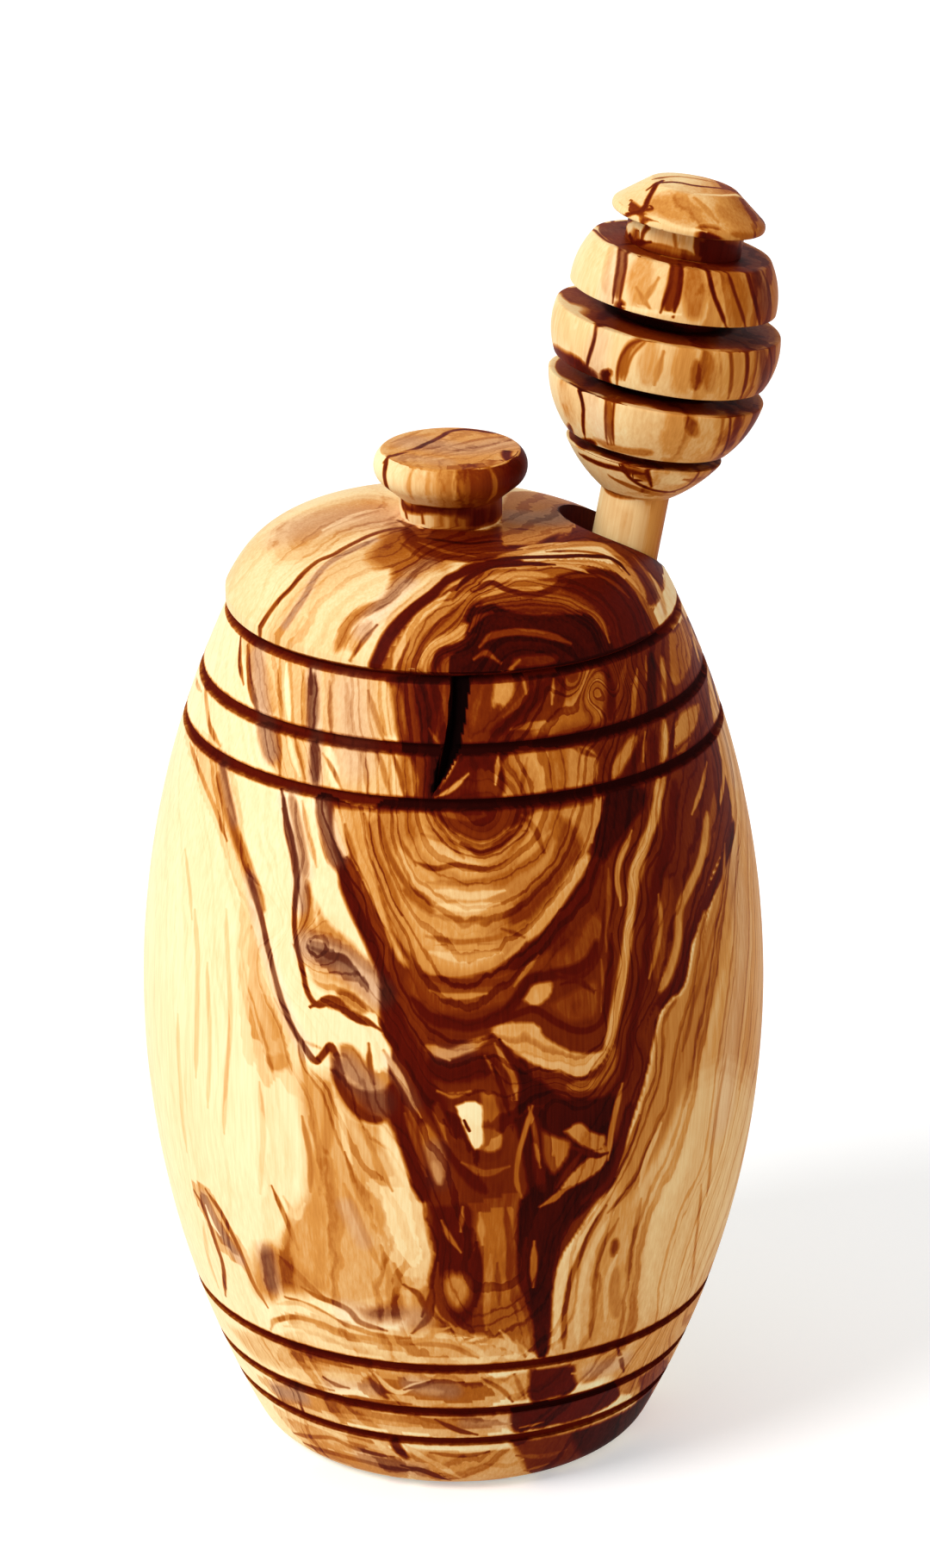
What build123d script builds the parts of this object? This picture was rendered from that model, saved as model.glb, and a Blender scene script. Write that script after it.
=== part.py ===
"""A turned wooden honey pot: a barrel-shaped pot, a lift-off lid with a turned knob, and a honey dipper
that stands in the pot through a hole near the lid's edge. Millimetres, +Z up, origin at the middle of the
pot's base. The front, -Y, has a natural check in the rim, and the dipper leans out to the right, +X."""

from build123d import *

from math import cos, radians, sin, sqrt, tan
import os

# --- pot: a barrel whose side is two arcs that meet upright at the belly ---
pot_height = 119.9
rim_radius = 30.2
belly_radius = 42.5
belly_height = 64.0
base_radius = 26.2
base_edge_fillet = 5.5
seam_chamfer = 0.8

rim_wall = 2.8
floor_thickness = 12.0
floor_corner_radius = 8.0
mouth_edge_fillet = 0.5

# turned and burnt grooves, half round
groove_radius = 0.7
upper_grooves_below_rim = (8.65, 15.35)
lower_grooves_above_base = (23.3, 15.4, 9.7)

# natural check in the front of the rim: (sideways, up from the rim) round its outline, cut from outside
check_depth = 1.9
check_overcut = 1.5
check_outline = (
    (0.2, 1.5),
    (2.4, 1.5),
    (1.7, -5.6),
    (1.0, -8.2),
    (-0.8, -12.0),
    (-3.1, -15.5),
    (-2.4, -11.6),
    (-0.7, -7.6),
)

# --- lid: a rounded crown whose top was sanded a little out of square, on a round spigot ---
lid_overhang = 0.3
crown_overhang = 0.4
crown_height = 12.1
crown_top_inset = 5.2
crown_side_reach = 7.0
crown_side_draft = 25.0
crown_lean = 3.0
spigot_clearance = 0.4
spigot_depth = 4.0
spigot_edge_chamfer = 0.6

knob_offset = -0.35
knob_neck_radius = 6.9
knob_neck_length = 2.8
knob_radius = 10.3
knob_flare_rise = 2.0
knob_flare_inset = 1.0
knob_side_height = 4.3
knob_top_inset = 1.2
knob_dome = 0.3

# --- dipper: leans outward in one upright plane through the pot's axis ---
dipper_azimuth = 11.0
dipper_lean = 10.2
mouth_gap = 0.35
tip_gap = 0.3
handle_radius = 4.65
handle_tip_fillet = 2.5
head_above_crown = 2.1

# hole in the lid, drilled along the dipper's lean, with the handle lying against one side of it
hole_gap = 0.35
hole_play = 2.7
hole_rest_azimuth = -50.0

# dipper head, upward from the handle
cone_foot_radius = 4.95
cone_middle_radius = 8.4
cone_radius = 10.7
cone_height = 6.0
head_core_radius = 6.9
# each ring: gap below it, thickness, radius at its lower edge, at its middle and at its upper edge
head_rings = ((1.3, 7.6, 11.0, 13.5, 14.6), (2.1, 7.1, 14.2, 15.3, 15.1), (2.8, 7.0, 13.9, 13.5, 11.9))
ring_edge_fillet = 0.45
cap_gap = 3.7
cap_neck_radius = 7.8
cap_radius = 10.3
cap_edge_height = 1.0
cap_flank_height = 3.6
cap_top_radius = 5.8
cap_dome = 0.3


def arc_radius(reach, rise):
    """Radius of the arc that falls away by `rise` at a distance `reach` from its tangent point."""
    return (reach**2 + rise**2) / (2 * rise)


def barrel_radius(height):
    """Radius of the pot's outside at a height above its base."""
    side = upper_side_radius if height > belly_height else lower_side_radius
    return belly_radius - side + sqrt(side**2 - (height - belly_height) ** 2)


def heading(azimuth):
    """Level unit vector at an azimuth from +X."""
    return Vector(cos(radians(azimuth)), sin(radians(azimuth)), 0)


upper_side_radius = arc_radius(pot_height - belly_height, belly_radius - rim_radius)
lower_side_radius = arc_radius(belly_height, belly_radius - base_radius)
mouth_radius = rim_radius - rim_wall
spigot_radius = mouth_radius - spigot_clearance
lid_radius = rim_radius + lid_overhang
crown_radius = lid_radius + crown_overhang
hole_radius = handle_radius + hole_gap + hole_play
groove_heights = [pot_height - below for below in upper_grooves_below_rim] + list(lower_grooves_above_base)

# --- pot ---
with BuildPart() as pot_body:
    with BuildSketch(Plane.XZ):
        with BuildLine():
            Polyline((rim_radius, pot_height), (0, pot_height), (0, 0), (base_radius, 0))
            belly = (belly_radius, belly_height)
            RadiusArc((base_radius, 0), belly, -lower_side_radius)
            RadiusArc(belly, (rim_radius, pot_height), -upper_side_radius)
        make_face()
    revolve(axis=Axis.Z)
    fillet(pot_body.edges().group_by(Axis.Z)[0], base_edge_fillet)
    chamfer(pot_body.edges().group_by(Axis.Z)[-1], seam_chamfer)

    with BuildSketch(Plane.XZ) as bore:
        with Locations((0, floor_thickness)):
            Rectangle(mouth_radius, pot_height - floor_thickness, align=Align.MIN)
        fillet(bore.vertices().group_by(Axis.X)[-1].sort_by(Axis.Y)[0], floor_corner_radius)
    revolve(axis=Axis.Z, mode=Mode.SUBTRACT)
    rim_circles = pot_body.edges().filter_by(GeomType.CIRCLE).group_by(Axis.Z)[-1]
    fillet(rim_circles.sort_by(SortBy.RADIUS)[0], mouth_edge_fillet)

    with BuildSketch(Plane.XZ):
        for height in groove_heights:
            with Locations((barrel_radius(height), height)):
                Circle(groove_radius)
    revolve(axis=Axis.Z, mode=Mode.SUBTRACT)

    # the check follows the wall's lean over the stretch that it splits
    check_length = -min(up for across, up in check_outline)
    wall_up = Vector(0, barrel_radius(pot_height - check_length) - rim_radius, check_length).normalized()
    wall_out = Vector(1, 0, 0).cross(wall_up)
    rim_front = Vector(0, -rim_radius, pot_height)
    with BuildSketch(Plane(origin=rim_front + wall_out * check_overcut, x_dir=(1, 0, 0), z_dir=wall_out)):
        with BuildLine():
            Polyline(*check_outline, close=True)
        make_face()
    extrude(amount=-check_overcut - check_depth, mode=Mode.SUBTRACT)

# --- dipper's axis: the handle passes the mouth's edge with mouth_gap and its tip stands over the floor ---
outward = heading(dipper_azimuth)
axis_up = outward * sin(radians(dipper_lean)) + Vector(0, 0, cos(radians(dipper_lean)))
handle_reach = mouth_radius - mouth_gap - handle_radius / cos(radians(dipper_lean))
axis_at_seat = outward * handle_reach + Vector(0, 0, pot_height)
tip_drop = (pot_height - floor_thickness - tip_gap) / cos(radians(dipper_lean))
head_above_seat = crown_height + head_above_crown
handle_length = tip_drop - handle_radius * tan(radians(dipper_lean)) + head_above_seat
tip = axis_at_seat + axis_up * (head_above_seat - handle_length)

# --- lid ---
crown_axis = Vector(sin(radians(crown_lean)), 0, cos(radians(crown_lean)))
crown_plane = Plane(origin=(0, 0, pot_height), x_dir=Vector(0, 1, 0).cross(crown_axis), z_dir=(0, -1, 0))
crown_foot = crown_radius * sin(radians(crown_lean)) + seam_chamfer
knob_plane = Plane(origin=(knob_offset, 0, pot_height), x_dir=(1, 0, 0), z_dir=(0, -1, 0))
neck_top = crown_height + knob_neck_length
side_foot = neck_top + knob_flare_rise
side_top = side_foot + knob_side_height
hole_offset = heading(hole_rest_azimuth) * (hole_radius - handle_radius - hole_gap)
hole_plane = Plane(origin=axis_at_seat - hole_offset, z_dir=axis_up)

with BuildPart() as lid:
    with BuildSketch(crown_plane):
        with BuildLine():
            side_start = (crown_radius, 0)
            side_reach = (
                crown_radius - crown_side_reach * sin(radians(crown_side_draft)),
                crown_side_reach * cos(radians(crown_side_draft)),
            )
            top_reach = (crown_radius - crown_top_inset, crown_height)
            Bezier((0, crown_height), top_reach, side_reach, side_start)
            Polyline(side_start, (crown_radius, -crown_foot), (0, -crown_foot), (0, crown_height))
        make_face()
    revolve(axis=Axis((0, 0, pot_height), crown_axis))
    with BuildSketch(Plane.XY.offset(pot_height)):
        Circle(lid_radius)
    extrude(amount=2 * crown_height, mode=Mode.INTERSECT)
    chamfer(lid.edges().group_by(Axis.Z)[0], seam_chamfer)

    with BuildSketch(knob_plane):
        with BuildLine():
            flare = (knob_radius - knob_flare_inset, side_foot)
            shoulder = (knob_radius - knob_top_inset, side_top)
            Polyline((0, 0), (knob_neck_radius, 0), (knob_neck_radius, neck_top), flare)
            ThreePointArc(flare, (knob_radius, side_foot + knob_side_height / 2), shoulder)
            peak = (0, side_top + knob_dome)
            RadiusArc(peak, shoulder, arc_radius(shoulder[0], knob_dome))
            Line(peak, (0, 0))
        make_face()
    revolve(axis=Axis(knob_plane.origin, (0, 0, 1)))

    with BuildSketch(Plane.XY.offset(pot_height)):
        Circle(spigot_radius)
    extrude(amount=-spigot_depth)
    chamfer(lid.edges().group_by(Axis.Z)[0], spigot_edge_chamfer)

    with BuildSketch(hole_plane):
        Circle(hole_radius)
    extrude(amount=crown_height + spigot_depth, both=True, mode=Mode.SUBTRACT)

# --- dipper: one turned profile, drawn in the upright plane that its axis leans in ---
across = heading(dipper_azimuth - 90)
dipper_plane = Plane(origin=tip, x_dir=axis_up.cross(across), z_dir=across)

with BuildPart() as honey_dipper:
    with BuildSketch(dipper_plane):
        with BuildLine():
            cone_top = handle_length + cone_height
            Polyline(
                (0, 0),
                (handle_radius, 0),
                (handle_radius, handle_length),
                (cone_foot_radius, handle_length),
            )
            cone_middle = (cone_middle_radius, handle_length + cone_height / 2)
            ThreePointArc((cone_foot_radius, handle_length), cone_middle, (cone_radius, cone_top))
            Line((cone_radius, cone_top), (head_core_radius, cone_top))
            below = cone_top
            for gap, thickness, low_radius, middle_radius, high_radius in head_rings:
                low = below + gap
                high = low + thickness
                Polyline((head_core_radius, below), (head_core_radius, low), (low_radius, low))
                ThreePointArc((low_radius, low), (middle_radius, low + thickness / 2), (high_radius, high))
                Line((high_radius, high), (head_core_radius, high))
                below = high
            cap_foot = below + cap_gap
            cap_edge = (cap_radius, cap_foot + cap_edge_height)
            cap_shoulder = (cap_top_radius, cap_edge[1] + cap_flank_height)
            cap_peak = (0, cap_shoulder[1] + cap_dome)
            Polyline(
                (head_core_radius, below),
                (cap_neck_radius, below),
                (cap_neck_radius, cap_foot),
                (cap_radius, cap_foot),
                cap_edge,
                cap_shoulder,
            )
            RadiusArc(cap_peak, cap_shoulder, arc_radius(cap_top_radius, cap_dome))
            Line(cap_peak, (0, 0))
        make_face()
    revolve(axis=Axis(tip, axis_up))
    turned_edges = honey_dipper.edges().filter_by(GeomType.CIRCLE).sort_by(Axis(tip, axis_up))
    fillet(turned_edges[0], handle_tip_fillet)
    rounded_from = cap_neck_radius + ring_edge_fillet
    turned_edges = honey_dipper.edges().filter_by(GeomType.CIRCLE)
    fillet(turned_edges.filter_by(lambda edge: edge.radius > rounded_from), ring_edge_fillet)

os.makedirs("parts", exist_ok=True)
for piece, name in ((pot_body, "pot_body"), (lid, "lid"), (honey_dipper, "honey_dipper")):
    piece.part.label = name
    export_step(piece.part, f"parts/{name}.step")
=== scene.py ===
# Turned olive-wood honey pot: the barrel, its lift-off lid and the dipper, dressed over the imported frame.
import math

import bpy
import numpy as np
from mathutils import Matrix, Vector, noise
from mathutils.bvhtree import BVHTree


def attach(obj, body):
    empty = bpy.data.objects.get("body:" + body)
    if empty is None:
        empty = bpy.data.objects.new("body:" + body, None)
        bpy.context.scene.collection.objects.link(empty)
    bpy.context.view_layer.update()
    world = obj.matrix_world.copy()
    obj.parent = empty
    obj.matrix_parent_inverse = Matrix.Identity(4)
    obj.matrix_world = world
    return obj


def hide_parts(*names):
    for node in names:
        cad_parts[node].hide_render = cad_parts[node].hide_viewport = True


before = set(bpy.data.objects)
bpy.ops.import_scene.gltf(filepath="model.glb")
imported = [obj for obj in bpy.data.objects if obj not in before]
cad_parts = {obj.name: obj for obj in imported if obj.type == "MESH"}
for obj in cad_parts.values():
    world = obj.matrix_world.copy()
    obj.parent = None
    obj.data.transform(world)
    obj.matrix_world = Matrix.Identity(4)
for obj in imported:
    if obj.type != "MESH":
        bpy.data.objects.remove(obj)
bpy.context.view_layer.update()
mm = 0.001
print("frame loaded:", ", ".join(sorted(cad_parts)))


# drawing profiles: points are (radius, height) or (across, up) in millimetres
def lineTo(start, end, count):
    start, end = np.array(start), np.array(end)
    return [tuple(start + (end - start) * i / count) for i in range(1, count + 1)]


def arcAbout(centre, radius, startAngle, endAngle, count):
    angles = np.radians(np.linspace(startAngle, endAngle, count + 1))
    return [(centre[0] + radius * math.cos(a), centre[1] + radius * math.sin(a)) for a in angles]


def arcThrough(start, middle, end, count):
    # the circle through three points, followed from the first to the last
    (ax, ay), (bx, by), (cx, cy) = start, middle, end
    d = 2 * (ax * (by - cy) + bx * (cy - ay) + cx * (ay - by))
    ux = ((ax**2 + ay**2) * (by - cy) + (bx**2 + by**2) * (cy - ay) + (cx**2 + cy**2) * (ay - by)) / d
    uy = ((ax**2 + ay**2) * (cx - bx) + (bx**2 + by**2) * (ax - cx) + (cx**2 + cy**2) * (bx - ax)) / d
    first, last = math.atan2(ay - uy, ax - ux), math.atan2(cy - uy, cx - ux)
    if last - first > math.pi:
        last -= 2 * math.pi
    if first - last > math.pi:
        last += 2 * math.pi
    radius = math.hypot(ax - ux, ay - uy)
    return arcAbout((ux, uy), radius, math.degrees(first), math.degrees(last), count)[1:]


def bezierTo(p0, p1, p2, p3, count):
    p0, p1, p2, p3 = (np.array(p, float) for p in (p0, p1, p2, p3))
    made = []
    for i in range(1, count + 1):
        t = i / count
        back = 1 - t
        made.append(tuple(back**3 * p0 + 3 * back**2 * t * p1 + 3 * back * t**2 * p2 + t**3 * p3))
    return made


def softenCorners(points, corners, radius, count=4):
    # each named corner gives way to a short curve that starts and ends `radius` before and after it
    made = []
    for i, p in enumerate(points):
        if i not in corners:
            made.append(p)
            continue
        p, before, after = np.array(p), np.array(points[i - 1]), np.array(points[i + 1])
        reachIn = min(radius, 0.45 * np.linalg.norm(before - p))
        reachOut = min(radius, 0.45 * np.linalg.norm(after - p))
        a = p + (before - p) / np.linalg.norm(before - p) * reachIn
        b = p + (after - p) / np.linalg.norm(after - p) * reachOut
        for step in range(count + 1):
            t = step / count
            made.append(tuple((1 - t) ** 2 * a + 2 * (1 - t) * t * p + t**2 * b))
    return made


# lathe work: one point is pulled along the profile and the line is spun round the upright axis
def pullLine(name, points):
    bpy.ops.object.select_all(action="DESELECT")
    bpy.ops.mesh.primitive_plane_add(size=mm, location=(0, 0, 0))
    piece = bpy.context.object
    piece.name = piece.data.name = name
    bpy.ops.object.mode_set(mode="EDIT")
    bpy.ops.mesh.select_all(action="SELECT")
    bpy.ops.mesh.merge(type="CENTER")
    bpy.ops.transform.translate(value=points[0])
    for here, there in zip(points, points[1:]):
        bpy.ops.mesh.extrude_region_move(TRANSFORM_OT_translate={"value": there - here})
    return piece


def turn(name, profile, steps, frontSteps=None, frontSpan=170):
    # clockwise; with frontSteps, the sector facing the front gets finer steps than the rest
    start = math.radians(-90 + frontSpan / 2)
    line = [Vector((r * mm * math.cos(start), r * mm * math.sin(start), h * mm)) for r, h in profile]
    piece = pullLine(name, line)
    bpy.ops.mesh.select_all(action="SELECT")
    sectors = ((360, steps),) if frontSteps is None else ((frontSpan, frontSteps), (360 - frontSpan, steps))
    for span, count in sectors:
        bpy.ops.mesh.spin(steps=count, angle=math.radians(span), center=(0, 0, 0), axis=(0, 0, 1))
    bpy.ops.mesh.select_all(action="SELECT")
    bpy.ops.mesh.remove_doubles(threshold=0.002 * mm)
    bpy.ops.mesh.normals_make_consistent(inside=False)
    bpy.ops.object.mode_set(mode="OBJECT")
    return piece


def workOn(piece):
    bpy.ops.object.select_all(action="DESELECT")
    piece.select_set(True)
    bpy.context.view_layer.objects.active = piece


def place(piece, location=(0, 0, 0), turned=None):
    # the place goes into the mesh, so the object itself stays at the origin
    workOn(piece)
    piece.location = Vector(location) * mm
    if turned is not None:
        piece.rotation_mode = "QUATERNION"
        piece.rotation_quaternion = turned
    bpy.ops.object.transform_apply(location=True, rotation=True, scale=True)
    return piece


def carve(piece, cutter, operation="DIFFERENCE"):
    workOn(piece)
    cut = piece.modifiers.new(operation.title(), "BOOLEAN")
    cut.operation = operation
    cut.solver = "EXACT"
    cut.object = cutter
    bpy.ops.object.modifier_apply(modifier=cut.name)
    bpy.data.objects.remove(cutter)


def handWork(piece, depth, size):
    # slight unevenness of hand sanding, inward only
    clouds = bpy.data.textures.new(piece.name + " sanding", "CLOUDS")
    clouds.noise_scale = size * mm
    workOn(piece)
    uneven = piece.modifiers.new("Sanding", "DISPLACE")
    uneven.texture = clouds
    uneven.texture_coords = "LOCAL"
    uneven.mid_level = 1.0
    uneven.strength = depth * mm
    bpy.ops.object.modifier_apply(modifier=uneven.name)


def finishMesh(piece, sharp=32):
    workOn(piece)
    bpy.ops.object.mode_set(mode="EDIT")
    bpy.ops.mesh.select_all(action="SELECT")
    bpy.ops.mesh.remove_doubles(threshold=0.004 * mm)
    bpy.ops.mesh.normals_make_consistent(inside=False)
    bpy.ops.object.mode_set(mode="OBJECT")
    bpy.ops.object.shade_smooth_by_angle(angle=math.radians(sharp))


def meshPoints(piece):
    co = np.empty(len(piece.data.vertices) * 3)
    piece.data.vertices.foreach_get("co", co)
    return co.reshape(-1, 3) / mm


def paint(piece, name, values):
    layer = piece.data.attributes.new(name, "FLOAT", "POINT")
    layer.data.foreach_set("value", np.ascontiguousarray(values, np.float32))


pot = {
    "height": 119.9, "rimRadius": 30.2, "bellyRadius": 42.5, "bellyHeight": 64.0, "baseRadius": 26.2,
    "footRound": 5.5, "seamChamfer": 0.8, "mouthRadius": 27.4, "mouthRound": 0.5,
    "floor": 12.0, "floorCorner": 8.0, "grooveRadius": 0.7,
    "grooves": (111.25, 104.55, 23.3, 15.4, 9.7), "steps": 70, "frontSteps": 304, "rowGap": 0.6,
    "grooveRows": 9, "besideGroove": (0.3, 0.9), "clearOfGroove": 1.605, "sanding": 0.1, "sandingSize": 14,
    "baseTone": 0.06, "raggedBy": 0.25, "raggedSize": 3.6,
}


def sideArc(rise, inset):
    # radius of the arc that leaves the belly upright and comes in by inset over rise
    return (rise**2 + inset**2) / (2 * inset)


pot["upperArc"] = sideArc(pot["height"] - pot["bellyHeight"], pot["bellyRadius"] - pot["rimRadius"])
pot["lowerArc"] = sideArc(pot["bellyHeight"], pot["bellyRadius"] - pot["baseRadius"])


# the foot is a round that touches the floor and the barrel's lower arc
footAcross = pot["bellyRadius"] - pot["lowerArc"] + math.sqrt(
    (pot["lowerArc"] - pot["footRound"]) ** 2 - (pot["bellyHeight"] - pot["footRound"]) ** 2)
footEnd = math.degrees(math.atan2(pot["footRound"] - pot["bellyHeight"],
                                  footAcross - pot["bellyRadius"] + pot["lowerArc"]))
footTop = pot["footRound"] * (1 + math.sin(math.radians(footEnd)))


def barrelRadius(height):
    side = np.where(np.asarray(height) > pot["bellyHeight"], pot["upperArc"], pot["lowerArc"])
    return pot["bellyRadius"] - side + np.sqrt(side**2 - (np.asarray(height) - pot["bellyHeight"]) ** 2)


def grooveDepth(height):
    depth = np.zeros_like(np.asarray(height, float))
    for groove in pot["grooves"]:
        inside = np.clip(1 - ((height - groove) / pot["grooveRadius"]) ** 2, 0, 1)
        depth = np.maximum(depth, pot["grooveRadius"] * np.sqrt(inside))
    return depth


def potProfile():
    line = [(0, 0)] + lineTo((0, 0), (footAcross, 0), 2)
    line += arcAbout((footAcross, pot["footRound"]), pot["footRound"], -90, footEnd, 8)[1:]
    # side, with close rows in and beside each groove
    top = pot["height"] - pot["seamChamfer"]
    heights = set(np.round(np.arange(line[-1][1], top, pot["rowGap"]), 4)) | {top}
    heights = {h for h in heights if all(abs(h - g) > pot["clearOfGroove"] for g in pot["grooves"])}
    acrossGroove = pot["grooveRadius"] * np.sin(np.radians(np.linspace(-90, 90, pot["grooveRows"])))
    for groove in pot["grooves"]:
        heights |= set(groove + acrossGroove)
        for beyond in pot["besideGroove"]:
            heights |= {groove - pot["grooveRadius"] - beyond, groove + pot["grooveRadius"] + beyond}
    heights = sorted(h for h in heights if line[-1][1] < h <= top)
    line += [(float(barrelRadius(h) - grooveDepth(h)), h) for h in heights]
    # seam chamfer, rim, bore and rounded floor
    line += [(pot["rimRadius"] - pot["seamChamfer"], pot["height"])]
    line += lineTo(line[-1], (pot["mouthRadius"] + pot["mouthRound"], pot["height"]), 2)
    line += arcAbout((pot["mouthRadius"] + pot["mouthRound"], pot["height"] - pot["mouthRound"]),
                     pot["mouthRound"], 90, 180, 4)[1:]
    line += lineTo(line[-1], (pot["mouthRadius"], pot["floor"] + pot["floorCorner"]), 3)
    line += arcAbout((pot["mouthRadius"] - pot["floorCorner"], pot["floor"] + pot["floorCorner"]),
                     pot["floorCorner"], 0, -90, 6)[1:]
    line += lineTo(line[-1], (0, pot["floor"]), 2)
    return line


barrel = turn("barrel", potProfile(), pot["steps"], pot["frontSteps"])
handWork(barrel, pot["sanding"], pot["sandingSize"])

# drying check in the rim: a dark, ragged wedge that narrows inward
# one value in the check's settings marks its inside for painted shade
check = {
    "outline": ((0.0, 1.6), (2.4, 1.6), (2.2, -1.2), (1.9, -3.4), (1.75, -5.4), (1.45, -6.6), (1.15, -7.6),
                (0.95, -9.1), (0.35, -10.4), (-0.1, -11.5), (-0.75, -12.5), (-1.6, -13.6), (-2.2, -14.4),
                (-3.1, -15.5), (-2.75, -14.2), (-2.5, -12.6), (-2.15, -11.1), (-1.5, -9.6), (-0.95, -8.3),
                (-0.75, -7.2), (-0.4, -5.2), (-0.35, -3.4), (0.05, -1.4)),
    "depth": 1.9, "lead": 1.5, "floorShare": 0.45, "middle": 11, "lips": 0.05, "shadeInCheck": 1.25,
}
drop = -min(rise for across, rise in check["outline"])
leanOut = math.atan2(float(barrelRadius(pot["height"] - drop)) - pot["rimRadius"], drop)
downWall = Vector((0, -math.sin(leanOut), -math.cos(leanOut)))
rimFront = Vector((0, -pot["rimRadius"], pot["height"]))


def checkCutter():
    out = Vector((0, -math.cos(leanOut), math.sin(leanOut)))
    start = rimFront + out * check["lead"]
    spots = [(start + Vector((across, 0, 0)) - downWall * rise) * mm for across, rise in check["outline"]]
    cutter = pullLine("check cutter", spots)
    bpy.ops.mesh.select_all(action="SELECT")
    bpy.ops.mesh.edge_face_add()
    bpy.ops.mesh.extrude_region_move(
        TRANSFORM_OT_translate={"value": -out * (check["lead"] + check["depth"]) * mm})
    middle = spots[check["middle"]] - out * 3 * mm
    bpy.ops.transform.resize(value=(check["floorShare"], 1, 1), center_override=middle)
    bpy.ops.mesh.select_all(action="SELECT")
    bpy.ops.mesh.normals_make_consistent(inside=False)
    bpy.ops.object.mode_set(mode="OBJECT")
    return cutter


carve(barrel, checkCutter())
finishMesh(barrel)
print("barrel turned:", len(barrel.data.vertices), "points")

# lid: crown sanded a little out of square, knob and spigot upright, one hole
lid = {
    "seam": pot["height"], "radius": 30.5, "crownRadius": 30.9, "crownHeight": 12.1, "topInset": 5.2,
    "sideReach": 7.0, "sideDraft": 25.0, "lean": 3.0, "skirt": 0.8, "spigotRadius": 27.0, "spigotDepth": 4.0,
    "spigotChamfer": 0.6, "steps": 320, "knobSteps": 200, "sanding": 0.06, "sandingSize": 9,
    "baseTone": 0.12, "insideTone": 0.3, "raggedBy": 0.22, "raggedSize": 3.2,
}
knob = {
    "across": -0.35, "neckRadius": 6.9, "neckLength": 2.8, "radius": 10.3, "flareRise": 2.0,
    "flareInset": 1.0, "sideHeight": 4.3, "topInset": 1.2, "dome": 0.3, "soften": 0.55, "root": 4,
    "topTone": 0.29,
    # across the knob's side the tone goes from light on the left to dark on the right: partly its wood,
    # partly painted shade away from the key light
    "toneAndShadeAcross": ((-10.5, -7.5, -5.5, -1.5, 1.5, 4.0, 7.0, 9.5),
                  (0.02, 0.06, 0.08, 0.16, 0.36, 0.5, 0.7, 0.82)),
}
dipper = {
    "azimuth": 11.0, "lean": 10.2, "mouthGap": 0.35, "tipGap": 0.3, "handleRadius": 4.65, "tipRound": 2.5,
    "headAboveCrown": 2.1, "coneFoot": 4.95, "coneMiddle": 8.4, "coneRadius": 10.7, "coneHeight": 6.0,
    "core": 6.9, "edge": 0.45,
    "rings": ((1.3, 7.6, 11.0, 13.5, 14.6), (2.1, 7.1, 14.2, 15.3, 15.1), (2.8, 7.0, 13.9, 13.5, 11.9)),
    "capGap": 3.7, "capNeck": 7.8, "capRadius": 10.3, "capEdge": 1.0, "capFlank": 3.6, "capTop": 5.8,
    # the shelf tone darkens every ring's top face: partly the wood, partly painted shade under the ring or
    # cap above
    "capDome": 0.3, "steps": 190, "sanding": 0.06, "sandingSize": 7, "shelfToneAndShade": 0.64,
    "raggedBy": 0.2, "raggedSize": 3.0, "drawnAbove": 125,
    # the side tones grade from light on the left to dark on the right: partly the wood, partly painted shade
    # away from the key light
    "toneAndShadeAcross": ((-1.0, -0.5, 0.1, 0.45, 0.75, 1.0), (0.09, 0.12, 0.19, 0.28, 0.41, 0.5)),
}
# the hole's tone is painted shade on its wall
hole = {"gap": 0.35, "play": 2.7, "restAzimuth": -50.0, "depth": 34, "steps": 112, "tone": 0.87}

leanAngle, leanWay = math.radians(dipper["lean"]), math.radians(dipper["azimuth"])
outward = Vector((math.cos(leanWay), math.sin(leanWay), 0))
dipperUp = outward * math.sin(leanAngle) + Vector((0, 0, math.cos(leanAngle)))
handleReach = pot["mouthRadius"] - dipper["mouthGap"] - dipper["handleRadius"] / math.cos(leanAngle)
dipperSeat = outward * handleReach + Vector((0, 0, pot["height"]))
headAboveSeat = lid["crownHeight"] + dipper["headAboveCrown"]
handleLength = (pot["height"] - pot["floor"] - dipper["tipGap"]) / math.cos(leanAngle) + headAboveSeat - (
    dipper["handleRadius"] * math.tan(leanAngle))
dipperTip = dipperSeat + dipperUp * (headAboveSeat - handleLength)
dipperTurn = Vector((0, 0, 1)).rotation_difference(dipperUp)
holeRadius = dipper["handleRadius"] + hole["gap"] + hole["play"]
restWay = math.radians(hole["restAzimuth"])
holeSeat = dipperSeat - Vector((math.cos(restWay), math.sin(restWay), 0)) * hole["play"]


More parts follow.
